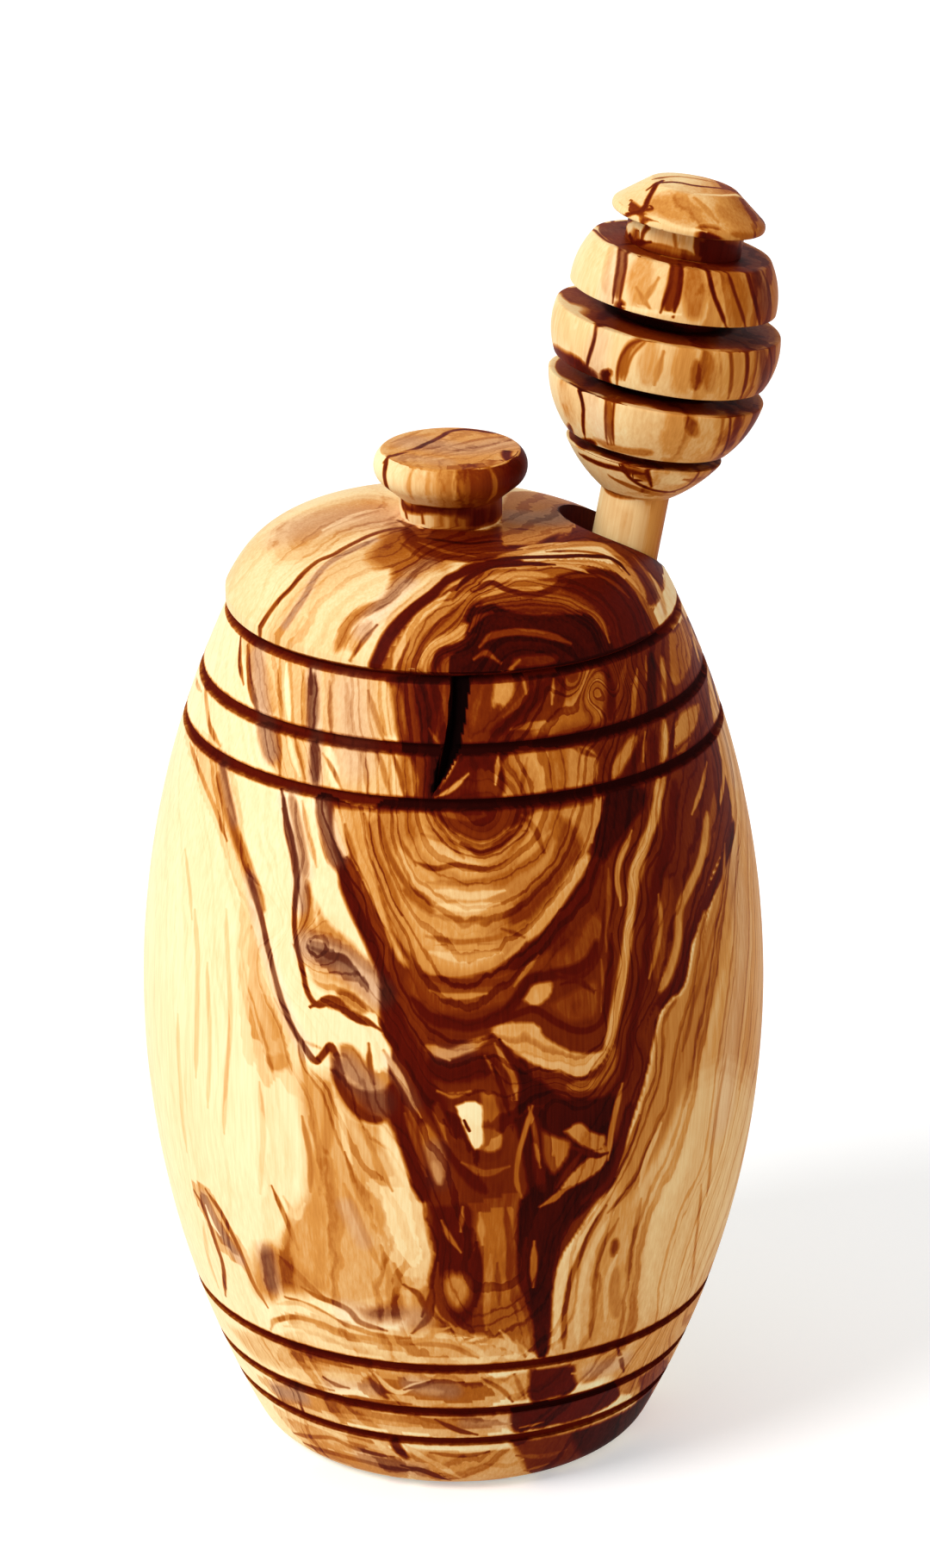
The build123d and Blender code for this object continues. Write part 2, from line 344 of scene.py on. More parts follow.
def makeLid():
    side = math.radians(lid["sideDraft"])
    foot = -lid["crownRadius"] * math.sin(math.radians(lid["lean"])) - lid["skirt"]
    profile = [(0, lid["crownHeight"])] + bezierTo(
        (0, lid["crownHeight"]), (lid["crownRadius"] - lid["topInset"], lid["crownHeight"]),
        (lid["crownRadius"] - lid["sideReach"] * math.sin(side), lid["sideReach"] * math.cos(side)),
        (lid["crownRadius"], 0), 90)
    profile += lineTo(profile[-1], (lid["crownRadius"], foot), 3) + [(0, foot)]
    crown = turn("lid crown", profile, lid["steps"])
    seam, radius, lean = lid["seam"], lid["radius"], math.radians(lid["lean"])
    leaning = Vector((0, 0, 1)).rotation_difference(Vector((math.sin(lean), 0, math.cos(lean))))
    place(crown, (0, 0, seam), leaning)
    blankLine = [(0, seam), (radius - pot["seamChamfer"], seam), (radius, seam + pot["seamChamfer"])]
    blankLine += lineTo(blankLine[-1], (radius, seam + 4), 5) + [(radius, seam + 24), (0, seam + 24)]
    carve(crown, turn("lid blank", blankLine, lid["steps"]), "INTERSECT")

    # knob and its neck, with softened edges
    neckTop = lid["crownHeight"] + knob["neckLength"]
    flare = (knob["radius"] - knob["flareInset"], neckTop + knob["flareRise"])
    shoulder = (knob["radius"] - knob["topInset"], flare[1] + knob["sideHeight"])
    knobLine = [(0, knob["root"]), (knob["neckRadius"], knob["root"])]
    knobLine += lineTo(knobLine[-1], (knob["neckRadius"], neckTop), 14)
    knobLine += lineTo(knobLine[-1], flare, 5)
    corner = len(knobLine) - 1
    knobLine += arcThrough(flare, (knob["radius"], flare[1] + knob["sideHeight"] / 2), shoulder, 12)
    edge = len(knobLine) - 1
    peak = (0, shoulder[1] + knob["dome"])
    knobLine += lineTo(shoulder, (shoulder[0] * 0.66, shoulder[1] + knob["dome"] * 0.56), 8)
    knobLine += lineTo(knobLine[-1], peak, 10)
    knobLine = softenCorners(knobLine, {corner, edge}, knob["soften"])
    knobPiece = turn("knob", [(r, h + seam) for r, h in knobLine], lid["knobSteps"])
    place(knobPiece, (knob["across"], 0, 0))
    carve(crown, knobPiece, "UNION")

    chamfer, reach, low = lid["spigotChamfer"], lid["spigotRadius"], seam - lid["spigotDepth"]
    spigotLine = [(0, low)] + lineTo((0, low), (reach - chamfer, low), 10) + [(reach, low + chamfer)]
    spigotLine += lineTo(spigotLine[-1], (reach, seam + 2), 4) + [(0, seam + 2)]
    carve(crown, turn("spigot", spigotLine, lid["steps"]), "UNION")

    bpy.ops.object.select_all(action="DESELECT")
    bpy.ops.mesh.primitive_cylinder_add(
        vertices=hole["steps"], radius=holeRadius * mm, depth=hole["depth"] * mm)
    drill = bpy.context.object
    place(drill, holeSeat, dipperTurn)
    carve(crown, drill)
    crown.name = crown.data.name = "lid_with_knob"
    handWork(crown, lid["sanding"], lid["sandingSize"])
    finishMesh(crown)
    return crown


lidPiece = makeLid()
print("lid turned:", len(lidPiece.data.vertices), "points")


def dipperProfile():
    d = dipper
    line = [(0, 0), (d["handleRadius"] - d["tipRound"], 0)]
    line += arcAbout((d["handleRadius"] - d["tipRound"], d["tipRound"]), d["tipRound"], -90, 0, 6)[1:]
    line += lineTo(line[-1], (d["handleRadius"], handleLength), 52)
    coneTop = handleLength + d["coneHeight"]
    line += [(d["coneFoot"], handleLength)]
    coneMiddle = (d["coneMiddle"], handleLength + d["coneHeight"] / 2)
    line += arcThrough(line[-1], coneMiddle, (d["coneRadius"], coneTop), 8)
    corners = {len(line) - 1}
    below = coneTop
    for gap, thickness, lowRadius, middleRadius, highRadius in d["rings"]:
        low, high = below + gap, below + gap + thickness
        line += lineTo(line[-1], (d["core"], below), 5) + lineTo((d["core"], below), (d["core"], low), 3)
        line += lineTo(line[-1], (lowRadius, low), 5)
        corners.add(len(line) - 1)
        line += arcThrough((lowRadius, low), (middleRadius, low + thickness / 2), (highRadius, high), 14)
        corners.add(len(line) - 1)
        below = high
    capFoot = below + d["capGap"]
    shoulder = (d["capTop"], capFoot + d["capEdge"] + d["capFlank"])
    line += lineTo(line[-1], (d["core"], below), 5) + [(d["capNeck"], below)]
    line += lineTo(line[-1], (d["capNeck"], capFoot), 4)
    line += lineTo((d["capNeck"], capFoot), (d["capRadius"], capFoot), 2)
    corners.add(len(line) - 1)
    line += [(d["capRadius"], capFoot + d["capEdge"])]
    corners.add(len(line) - 1)
    line += lineTo(line[-1], shoulder, 6)
    corners.add(len(line) - 1)
    line += lineTo(shoulder, (shoulder[0] * 0.6, shoulder[1] + d["capDome"] * 0.64), 3)
    line += lineTo(line[-1], (0, shoulder[1] + d["capDome"]), 4)
    return softenCorners(line, corners, d["edge"])


dipperPiece = turn("honey_dipper_turned", dipperProfile(), dipper["steps"])
place(dipperPiece, dipperTip, dipperTurn)
handWork(dipperPiece, dipper["sanding"], dipper["sandingSize"])
finishMesh(dipperPiece)
print("dipper turned:", len(dipperPiece.data.vertices), "points")


# figure of the wood: growth lines pass through given points and swell smoothly between them
def growthField(points, values, spots, soft=2.0, batch=8192):
    points, values = np.asarray(points, float), np.asarray(values, float)
    gaps = np.linalg.norm(points[:, None] - points[None], axis=2)
    kernel = np.sqrt(gaps**2 + soft**2)
    system = np.block([[kernel + 1e-6 * np.eye(len(points)), np.ones((len(points), 1))],
                       [np.ones((1, len(points))), np.zeros((1, 1))]])
    weights = np.linalg.solve(system, np.append(values, 0))
    made = np.empty(len(spots))
    for start in range(0, len(spots), batch):
        chunk = spots[start:start + batch]
        reach = np.sqrt(((chunk[:, None] - points[None]) ** 2).sum(2) + soft**2)
        made[start:start + batch] = reach @ weights[:-1] + weights[-1]
    return made


def onBarrel(angle, height):
    # angle in degrees from the front, to the right; height in millimetres
    r, a = float(barrelRadius(height)), math.radians(angle)
    return (r * math.sin(a), -r * math.cos(a), height)


# The front figure is drawn on a flat view, 1080 wide and 1820 high, that an eye before the pot sees.
# A row is (tone, width or soft edge, "across,down across,down ..."), widths and spots in the view's own dots,
# and each spot lands on the first wood that the sight line through it meets.
view = {
    "eye": (0, -745.289, 384.087), "downward": 21.3126, "roll": 0.2595, "focal": 6860.93,
    "middle": (526.54, 910.0), "dotsPerMm": 8.6, "threadWidth": 9.5,
    "nearest": 690, "farthest": 860, "step": 0.05, "closeSpots": 0.25,
}
viewEye = np.array(view["eye"], float)


def sightLine(across, down):
    pitch, roll = math.radians(view["downward"]), math.radians(view["roll"])
    x, y = across - view["middle"][0], view["middle"][1] - down
    x, y = x * math.cos(roll) - y * math.sin(roll), x * math.sin(roll) + y * math.cos(roll)
    way = np.array((x, view["focal"] * math.cos(pitch) + y * math.sin(pitch),
                    y * math.cos(pitch) - view["focal"] * math.sin(pitch)))
    return way / np.linalg.norm(way)


def spotsOf(line):
    return [tuple(float(part) for part in spot.split(",")) for spot in line.split()]


def drawnOnBarrel(line):
    # each spot as (angle, height), where its sight line meets the barrel or passes nearest to it
    landed = []
    depths = np.arange(view["nearest"], view["farthest"], view["step"])[:, None]
    for across, down in spotsOf(line):
        spots = viewEye + depths * sightLine(across, down)
        heights = np.clip(spots[:, 2], 0, pot["height"])
        footed = np.sqrt(pot["footRound"]**2 - np.clip(pot["footRound"] - heights, 0, None) ** 2) + footAcross
        skin = np.where(heights < footTop, footed, barrelRadius(heights))
        outside = np.hypot(spots[:, 0], spots[:, 1]) - skin + 1e3 * (heights != spots[:, 2])
        place = np.argmax(outside <= 0) if outside.min() <= 0 else np.argmin(outside)
        x, y, height = spots[place]
        landed.append((math.degrees(math.atan2(x, -y)), height))
    return landed


def woodTree(node, keep):
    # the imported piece's own triangles, in millimetres, where keep says so
    corners = meshPoints(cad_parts[node])
    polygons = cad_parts[node].data.polygons
    faces = np.empty(len(polygons) * 3, int)
    polygons.foreach_get("vertices", faces)
    faces = faces.reshape(-1, 3)
    return BVHTree.FromPolygons(corners.tolist(), faces[keep(corners[faces].mean(1))].tolist())


def drawnOn(tree, line):
    # each spot as (x, y, z); spots that land close together count once
    landed = []
    for across, down in spotsOf(line):
        way = Vector(sightLine(across, down))
        hit = tree.ray_cast(Vector(viewEye), way)[0]
        if hit is None:
            passing = [tree.find_nearest(Vector(viewEye) + way * depth)
                       for depth in range(view["nearest"], view["farthest"])]
            hit = min(passing, key=lambda found: found[3])[0]
        if not landed or (hit - Vector(landed[-1])).length > view["closeSpots"]:
            landed.append(tuple(hit))
    return landed


def drawnRows(rows, land):
    # widths become millimetres; rows with fewer than two spots left fall away
    made = [(tone, round(width / view["dotsPerMm"], 1), land(line)) for tone, width, line in rows]
    return [row for row in made if len(row[2]) > 1]


def broadAndFine(rows, land):
    # broad streaks are laid as washes, fine lines as threads
    broad = [row for row in rows if row[1] >= view["threadWidth"]]
    fine = [row for row in rows if row[1] < view["threadWidth"]]
    return drawnRows(broad, land), drawnRows(fine, land)


barrelPatches = (
    # right: tan sapwood beside the V, its tone darkened partly as painted shade on the side away from the key
    # light
    (0.25, 20, "845,690 900,900 930,1150 912,1350 862,1500 780,1640 700,1600 636,1580 640,1500 655,1460 "
        "690,1400 722,1340 745,1280 765,1190 800,1130 830,1040 850,960 845,880 830,800 808,735"),
    (0.19, 26, "775,1285 840,1240 872,1290 852,1400 820,1480 770,1530 742,1510 745,1400"),
    (0.38, 14, "790,1165 812,1100 830,1040 846,975 852,1040 842,1110 822,1185 800,1250 780,1300 760,1345 "
        "735,1375 718,1395 722,1350 740,1290 757,1230 764,1190"),
    (0.33, 12, "690,1405 720,1385 742,1400 738,1450 730,1500 712,1545 690,1560 645,1565 650,1500 668,1450"),
    # heartwood V with its trunk
    (0.68, 6, "456,766 460,840 466,880 440,932 400,930 367,922 375,955 384,990 397,1015 408,1045 420,1075 "
        "433,1110 440,1150 440,1190 452,1222 440,1262 400,1268 410,1290 445,1300 462,1330 482,1368 "
        "490,1400 496,1440 500,1460 490,1500 480,1530 510,1545 560,1552 600,1560 632,1574 640,1500 "
        "650,1462 668,1432 690,1400 712,1370 722,1330 738,1290 752,1240 758,1190 775,1165 795,1140 "
        "803,1100 815,1060 830,1010 845,975 850,940 838,880 828,830 822,790 812,720 770,734 700,752 "
        "600,764"),
    # golden core and its light centre
    (0.42, 6, "400,936 440,940 500,942 520,960 545,972 575,968 605,955 625,942 690,932 702,922 695,955 "
        "684,985 668,1015 650,1045 625,1075 605,1098 585,1116 560,1130 520,1134 490,1126 470,1104 455,1077 "
        "445,1042 436,1010 425,975 412,955"),
    (0.3, 16, "455,985 500,970 540,985 562,1010 572,1040 560,1070 580,1100 560,1126 505,1122 478,1088 "
        "462,1040"),
    (0.6, 10, "652,950 668,958 676,990 655,1020 630,1050 600,1078 588,1062 612,1032 640,1000"),
    (0.27, 6, "386,934 440,942 425,960 436,1010 445,1045 455,1080 470,1110 480,1128 462,1112 442,1072 "
        "427,1042 417,1012 402,985 388,960"),
    # between seam and grooves, left
    (0.21, 8, "284,726 300,732 330,748 380,762 456,770 462,852 380,852 330,836 300,824 292,800 286,770"),
    (0.19, 8, "300,836 325,845 400,862 466,872 470,926 400,920 340,905 318,890 306,880"),
    (0.3, 6, "288,734 304,740 318,790 322,826 304,822 294,800"),
    (0.36, 7, "299,838 322,845 322,885 309,880 302,862"),
    (0.23, 9, "216,842 226,848 240,858 256,872 268,900 276,940 280,980 290,1010 302,1052 290,1052 274,1012 "
        "262,976 250,946 238,916 226,880"),
    (0.16, 9, "285,1048 300,1075 312,1130 330,1180 345,1240 338,1262 322,1232 308,1252 296,1212 288,1226 "
        "282,1150"), (0.27, 9, "306,1160 322,1165 334,1192 326,1210 308,1205"),
    (0.28, 7, "308,1222 332,1222 334,1240 312,1240"),
    (0.28, 7, "340,1005 352,1008 362,1040 366,1068 372,1092 388,1106 366,1092 352,1070 346,1040"),
    (0.27, 8, "366,1046 384,1072 410,1094 428,1112 438,1132 420,1126 400,1106 380,1096 368,1080"),
    (0.5, 9, "352,1085 372,1084 392,1098 410,1110 428,1130 447,1165 452,1182 430,1162 410,1147 385,1137 "
        "370,1127 356,1112 348,1098"),
    (0.17, 7, "358,1120 375,1130 400,1142 420,1154 432,1174 415,1166 395,1152 375,1150 364,1140"),
    (0.07, 5, "362,1172 376,1172 392,1176 405,1186 425,1193 441,1206 441,1242 430,1236 420,1222 405,1215 "
        "390,1205 375,1198 365,1203 360,1190"),
    (0.42, 8, "392,1212 406,1212 420,1225 432,1242 446,1240 452,1262 430,1266 410,1256 398,1240"),
    (0.62, 8, "382,1224 395,1232 403,1250 420,1262 442,1266 458,1252 472,1272 482,1302 472,1322 456,1306 "
        "440,1300 420,1300 404,1290 393,1272 385,1250"),
    # behind the trunk, lower left
    (0.26, 20, "343,1238 362,1244 386,1248 395,1272 410,1292 445,1304 462,1334 480,1370 488,1402 494,1440 "
        "498,1466 488,1492 460,1502 430,1512 400,1517 370,1502 345,1482 320,1462 300,1447 320,1445 "
        "332,1420 346,1400 353,1380 356,1330 350,1290"),
    (0.38, 22, "294,1447 318,1446 336,1462 352,1476 367,1494 350,1502 330,1497 312,1506 300,1506 291,1490 "
        "289,1470"),
    (0.15, 9, "432,1375 450,1370 478,1374 484,1400 492,1440 495,1462 475,1476 456,1455 441,1420"),
    (0.12, 7, "440,1304 452,1318 468,1345 480,1378 470,1382 455,1352 442,1325"),
    (0.42, 9, "224,1376 238,1381 250,1403 262,1424 275,1445 287,1472 275,1462 262,1452 249,1440 239,1412 "
        "229,1395"),
    (0.01, 6, "264,1476 276,1477 286,1494 301,1514 316,1524 312,1540 295,1532 275,1516 264,1500"),
    (0.46, 18, "412,1518 440,1512 450,1498 466,1500 472,1514 482,1526 450,1534 424,1532"),
    (0.42, 20, "470,1492 500,1492 512,1530 500,1548 470,1545"),
    (0.11, 6, "316,1548 340,1544 370,1548 400,1560 440,1570 496,1573 440,1580 400,1574 360,1562 330,1556"),
    (0.3, 9, "330,1528 380,1532 430,1548 500,1546 560,1555 620,1572 520,1582 440,1570 380,1552"),
    # trunk
    (0.5, 9, "548,1402 600,1395 598,1460 600,1510 612,1562 560,1550 552,1500 553,1440"),
    (0.78, 8, "498,1400 545,1400 548,1440 556,1480 552,1510 538,1536 522,1532 508,1512 500,1480 505,1450"),
    (0.36, 15, "511,1486 522,1478 539,1484 543,1500 533,1519 520,1516 511,1500"),
    (0.9, 6, "596,1300 620,1285 640,1290 690,1290 706,1300 713,1340 700,1372 680,1396 660,1421 648,1450 "
        "640,1490 636,1530 633,1574 620,1572 617,1540 611,1515 601,1490 598,1450 600,1400 611,1380 "
        "606,1340"),
    # under the core: brown swirl, light lens, eye
    (0.6, 8, "472,1104 500,1130 560,1134 600,1120 625,1102 641,1112 620,1140 605,1158 580,1166 540,1174 "
        "500,1174 476,1152"),
    (0.6, 7, "690,1058 702,1080 692,1110 673,1126 645,1126 640,1112 665,1090 680,1065"),
    (0.6, 7, "638,1166 665,1152 690,1140 693,1165 686,1181 655,1183"),
    (0.28, 5, "606,1162 612,1148 625,1139 640,1141 637,1156 622,1168"),
    (0.24, 5, "566,1196 585,1189 620,1187 629,1200 641,1210 662,1220 690,1223 706,1216 699,1233 687,1244 "
        "672,1252 655,1247 635,1241 615,1233 600,1223 585,1213"),
    (0.84, 8, "500,1228 540,1222 570,1226 560,1250 520,1256 490,1246"),
    (0.93, 6, "632,1260 660,1276 700,1272 714,1260 713,1290 700,1306 690,1312 660,1302 640,1312 630,1290"),
    (0.97, 6, "611,1253 633,1257 634,1282 615,1284 603,1270"),
    (0.52, 6, "556,1268 572,1270 580,1300 572,1318 560,1310"),
    (0.34, 5, "556,1328 560,1308 574,1311 583,1318 578,1334 562,1338"),
    (0.02, 4, "529,1284 543,1278 557,1282 559,1305 560,1328 551,1336 543,1320 536,1302"),
    (0.52, 7, "621,1309 640,1317 661,1325 656,1346 641,1363 632,1350 625,1330"),
    (0.42, 5, "654,1312 672,1304 686,1315 702,1321 691,1337 672,1329"),
    (0.42, 5, "703,1328 702,1350 681,1369 656,1381 640,1396 654,1372 672,1352"),
    # right of the core, upper
    (0.92, 7, "702,922 746,914 750,936 731,961 713,986 700,1002 688,1004 691,965"),
    (0.37, 6, "585,880 600,871 660,867 691,872 694,900 682,912 640,918 590,926 581,920"),
    (0.8, 7, "500,872 540,872 556,885 580,880 582,926 500,926"),
    (0.66, 6, "556,882 578,880 580,924 558,924"),
    (0.46, 8, "652,786 672,776 700,780 702,830 690,842 650,852 618,852 640,836 655,820"),
    (0.42, 7, "572,780 592,778 598,806 586,822 572,830"),
    (0.4, 6, "782,840 800,822 813,819 809,846 796,859 782,869"),
    (0.5, 6, "778,735 800,722 802,775 782,794"),
    # between the lower grooves and the foot
    (0.16, 16, "262,1538 330,1552 420,1582 470,1600 420,1608 330,1592 290,1572"),
    (0.35, 9, "330,1562 352,1566 420,1582 400,1590 350,1584 326,1578"),
    (0.17, 8, "322,1586 360,1588 428,1596 440,1606 400,1612 350,1602"),
    (0.5, 9, "440,1592 520,1598 560,1602 580,1618 540,1632 460,1624 420,1612"),
    (0.31, 7, "572,1600 600,1594 613,1596 610,1624 588,1622"),
    (0.82, 8, "612,1590 666,1586 664,1612 640,1622 614,1626"),
    (0.33, 8, "664,1582 712,1568 780,1542 782,1560 730,1588 672,1606"),
    (0.36, 9, "300,1600 350,1612 420,1630 500,1640 560,1642 590,1646 560,1662 480,1660 400,1648 340,1632"),
    (0.4, 7, "308,1604 340,1606 352,1622 326,1628"),
    (0.86, 8, "590,1636 640,1628 700,1612 712,1604 716,1622 680,1644 620,1658 592,1660"),
    (0.42, 6, "714,1606 738,1594 742,1606 722,1620"), (0.6, 8, "738,1600 770,1578 768,1596 744,1622"),
    (0.3, 9, "318,1636 360,1650 440,1672 400,1690 350,1672"),
    (0.34, 9, "350,1670 420,1684 470,1692 470,1722 400,1705 360,1690"),
    (0.32, 8, "470,1680 560,1684 620,1678 640,1700 580,1722 480,1722"),
    # lower right by the foot: dark red wood, taken towards near black as painted shade where the light falls
    # off
    (0.76, 10, "590,1672 660,1662 720,1640 760,1610 740,1650 690,1690 620,1712 600,1690"),
    (0.9, 10, "660,1662 720,1640 755,1612 735,1655 690,1690 668,1686"),
)
barrelLines = (
    # between seam and first groove
    (0.5, 7, "280,742 279,765 283,788"), (0.52, 9, "288,752 290,778 292,800 299,822"),
    (0.34, 6, "326,768 326,800 327,832"), (0.03, 7, "334,774 335,804 336,836"),
    (0.16, 13, "345,784 346,808 346,838"), (0.32, 6, "354,782 353,812 353,842"),
    (0.52, 15, "364,784 364,812 363,846"), (0.66, 8, "362,780 362,798"),
    (0.3, 7, "384,795 384,820 386,850"), (0.27, 6, "404,798 405,824 408,856"),
    (0.34, 6, "430,806 438,830 446,858"), (0.16, 12, "418,800 420,826 426,856"),
    (0.5, 12, "460,796 464,822 468,858"), (0.7, 8, "474,796 476,828 480,860"),
    (0.88, 13, "488,792 491,820 497,850 499,866"), (0.78, 8, "502,795 505,825 506,852"),
    (0.6, 6, "516,798 514,826 510,850"), (0.45, 6, "503,850 511,862"),
    # between the two upper grooves
    (0.3, 8, "238,792 240,815 244,840 254,862"), (0.25, 6, "228,786 233,800"),
    (0.45, 7, "324,848 325,870 326,892"), (0.08, 7, "334,852 340,872 347,895"),
    (0.3, 6, "344,856 350,878 354,898"), (0.56, 12, "366,860 366,882 366,906"),
    (0.06, 13, "382,868 386,888 390,912"), (0.36, 5, "378,878 388,895 396,912"),
    (0.36, 6, "438,872 446,892 452,916"), (0.4, 16, "470,876 476,898 480,920"),
    (0.34, 7, "420,872 424,892 428,918"), (0.52, 5, "458,876 466,900 470,920"),
    # left V lines at belly height
    (0.46, 10, "256,876 262,905 268,935 273,960 277,985"),
    (0.34, 7, "222,862 231,890 242,918 252,944 262,970"), (0.02, 13, "376,1036 394,1060 412,1084 426,1106"),
    (0.5, 13, "371,928 375,955 381,985 390,1005"), (0.22, 16, "392,944 396,968 402,990"),
    (0.44, 8, "402,960 408,985 414,1005"),
    (0.85, 20, "398,1010 410,1040 422,1068 434,1096 446,1122 458,1150"),
    (0.62, 9, "366,1100 382,1108 398,1112 412,1126"),
    (0.62, 9, "363,1166 372,1162 382,1158 392,1161 401,1173 413,1181 426,1186 437,1192"),
    (0.4, 14, "394,1152 408,1160 422,1172"),
    (0.64, 8, "350,1210 358,1223 366,1231 374,1223 382,1213 389,1224 396,1240"),
    (0.22, 8, "358,1210 366,1214"), (0.74, 11, "386,1240 398,1268 412,1286 427,1296 441,1299"),
    (0.58, 6, "427,1216 428,1236 432,1252"), (0.3, 9, "446,1222 460,1246 475,1270 486,1292"),
    (0.08, 6, "436,1214 438,1238"), (0.86, 22, "448,1150 456,1185 470,1215 486,1246 502,1280 514,1305"),
    (0.87, 20, "455,1262 461,1292 471,1325 484,1362 490,1390"), (0.5, 20, "492,1310 502,1336 508,1364"),
    (0.36, 10, "502,1350 508,1372"), (0.88, 14, "512,1310 524,1338 540,1362 560,1382"),
    (0.8, 10, "500,1185 530,1190 560,1190"),
    # rings of the core
    (0.7, 12, "528,952 545,966 570,968 588,958"), (0.6, 8, "540,980 560,990 585,978 602,962"),
    (0.44, 7, "500,960 520,976 535,992"), (0.52, 6, "486,1002 506,1007 530,1004 562,1008 590,994 612,968"),
    (0.46, 6, "496,968 520,975"), (0.52, 14, "470,1034 484,1042 500,1058"),
    (0.5, 6, "440,944 448,976 462,1012 480,1040"), (0.46, 6, "425,948 436,985 452,1022 464,1056"),
    (0.48, 5, "458,948 466,975 480,1000"), (0.36, 6, "500,1024 540,1026 575,1018"),
    (0.38, 6, "505,1062 545,1066 590,1054"), (0.42, 6, "500,1086 540,1092 580,1087 605,1072"),
    (0.56, 6, "588,1080 604,1086"), (0.18, 9, "510,1034 545,1040 580,1034"),
    (0.18, 9, "512,1050 545,1053 575,1048"), (0.2, 9, "505,1104 540,1112 575,1106"),
    (0.36, 9, "628,965 640,975 632,1000 614,1018"), (0.3, 7, "600,1004 620,985 636,968"),
    (0.54, 7, "610,950 622,965 630,985"), (0.27, 15, "681,996 668,1016 650,1044 632,1066 612,1088"),
    (0.3, 7, "608,1092 590,1108"), (0.36, 6, "690,950 684,975 674,996"),
    (0.58, 6, "660,965 658,990 640,1010"), (0.6, 6, "510,942 540,948 560,946"),
    # red and dark curves right of the core
    (0.86, 17, "692,1000 680,1028 662,1056 644,1080 620,1104 596,1122"),
    (0.34, 7, "698,928 695,948 690,966"), (0.8, 6, "702,1050 700,1086 692,1116 676,1134 654,1142"),
    (0.58, 6, "706,1015 706,1060 704,1100"), (0.56, 5, "698,1120 700,1150 698,1170"),
    (0.34, 11, "772,903 764,932 755,965 745,1000 736,1038 730,1078 724,1118 719,1150 713,1190 705,1216"),
    (0.38, 8, "821,890 815,915 806,942"), (0.34, 9, "838,858 841,900 836,936"),
    (0.8, 8, "828,885 833,925 838,950"),
    (0.9, 12, "800,1090 796,1120 788,1145 770,1160 758,1182 752,1212 745,1242 738,1266 730,1292 722,1322 "
        "716,1346 702,1371 685,1392 665,1413"), (0.46, 6, "842,985 838,1040 828,1085 816,1130 806,1165"),
    (0.4, 5, "858,965 857,1005 850,1045 845,1085"), (0.5, 7, "806,1150 800,1185 792,1215"),
    (0.42, 6, "775,1185 770,1220 762,1255 752,1290"),
    (0.34, 6, "842,1230 836,1262 830,1302 824,1342 819,1386"),
    (0.36, 6, "790,1240 780,1272 766,1306 750,1345 737,1376"), (0.5, 8, "740,1300 728,1335 716,1362"),
    (0.48, 7, "752,1330 740,1358 726,1384 708,1404"), (0.2, 8, "764,1310 750,1345 742,1372"),
    (0.33, 5, "872,1150 868,1200 858,1260"), (0.32, 5, "890,1000 888,1060 884,1110"),
    (0.33, 5, "812,1380 806,1440 800,1490"), (0.31, 6, "835,1090 828,1140 818,1190"),
    # above the second groove, right
    (0.86, 13, "642,788 622,812 600,832 574,850"), (0.66, 8, "560,800 552,826 548,855"),
    (0.72, 12, "580,820 566,845"), (0.46, 9, "600,846 626,842 648,838"),
    (0.62, 7, "616,800 606,815 590,828"), (0.4, 6, "610,790 612,800"), (0.76, 9, "656,790 652,815 640,832"),
    (0.38, 5, "644,792 643,812"), (0.78, 11, "706,786 712,806 710,832"),
    (0.6, 8, "728,772 722,795 718,826"), (0.44, 8, "741,782 738,808 736,832"),
    (0.92, 16, "758,762 758,796 757,832"), (0.5, 5, "752,768 752,785"),
    (0.35, 10, "771,764 772,790 774,815"), (0.33, 11, "804,728 808,746 812,764"),
    (0.74, 6, "817,758 822,785"), (0.52, 7, "690,785 684,800 672,815"),
    (0.36, 4, "532,880 522,896 515,909"), (0.34, 5, "541,902 526,915 512,922"), (0.3, 7, "580,878 577,905"),
    (0.62, 7, "665,868 690,878"), (0.76, 9, "702,868 706,888 708,908"),
    (0.37, 14, "738,858 724,880 714,902"), (0.86, 10, "748,858 738,884 726,904"),
    (0.44, 6, "750,856 748,880"), (0.86, 10, "760,850 760,872 760,894"),
    (0.32, 13, "772,838 772,862 770,884"), (0.8, 7, "784,838 782,862 779,884"),
    (0.8, 8, "822,815 820,840 812,860"), (0.3, 9, "836,806 844,830 852,862"),
    (0.28, 10, "850,866 856,902 862,940"), (0.54, 8, "800,862 790,874"), (0.48, 6, "640,875 645,915"),
    (0.5, 5, "612,885 606,915"), (0.46, 5, "672,876 676,908"),
    # under the core
    (0.66, 8, "498,1132 540,1141 580,1139 602,1126"), (0.38, 7, "505,1150 520,1156 560,1154"),
    (0.87, 13, "478,1160 500,1180 540,1190 580,1180 600,1160 615,1138 640,1132 666,1128 685,1115 692,1096"),
    (0.42, 7, "600,1140 612,1124 622,1112"),
    (0.82, 8, "570,1190 600,1178 622,1172 650,1190 680,1196 700,1182 707,1140 710,1090"),
    (0.7, 14, "650,1202 680,1210 700,1202"), (0.78, 7, "650,1132 672,1140 686,1150"),
    (0.4, 12, "496,1216 520,1223 540,1216 562,1206"), (0.36, 7, "506,1222 516,1228"),
    (0.5, 13, "660,1262 690,1258 706,1242 713,1220"), (0.43, 7, "576,1216 586,1234 596,1252 599,1272"),
    (0.46, 6, "564,1230 577,1250 587,1276"), (0.86, 8, "582,1212 596,1232 612,1244"),
    (0.84, 7, "572,1240 583,1266 590,1290"), (0.9, 13, "604,1232 611,1262 604,1292"),
    (0.5, 12, "506,1284 514,1306 524,1328"),
    (0.7, 8, "574,1258 589,1290 590,1328 576,1350 550,1352 530,1338 516,1304"),
    (0.55, 9, "540,1352 560,1362 584,1356"),
    # small corrections
    (0.95, 4, "541,1305 543,1309"), (0.46, 8, "512,1268 526,1272 540,1268"),
    (0.48, 6, "616,1289 608,1315 600,1345 598,1370 603,1386"), (0.86, 10, "621,1300 624,1340 628,1380"),
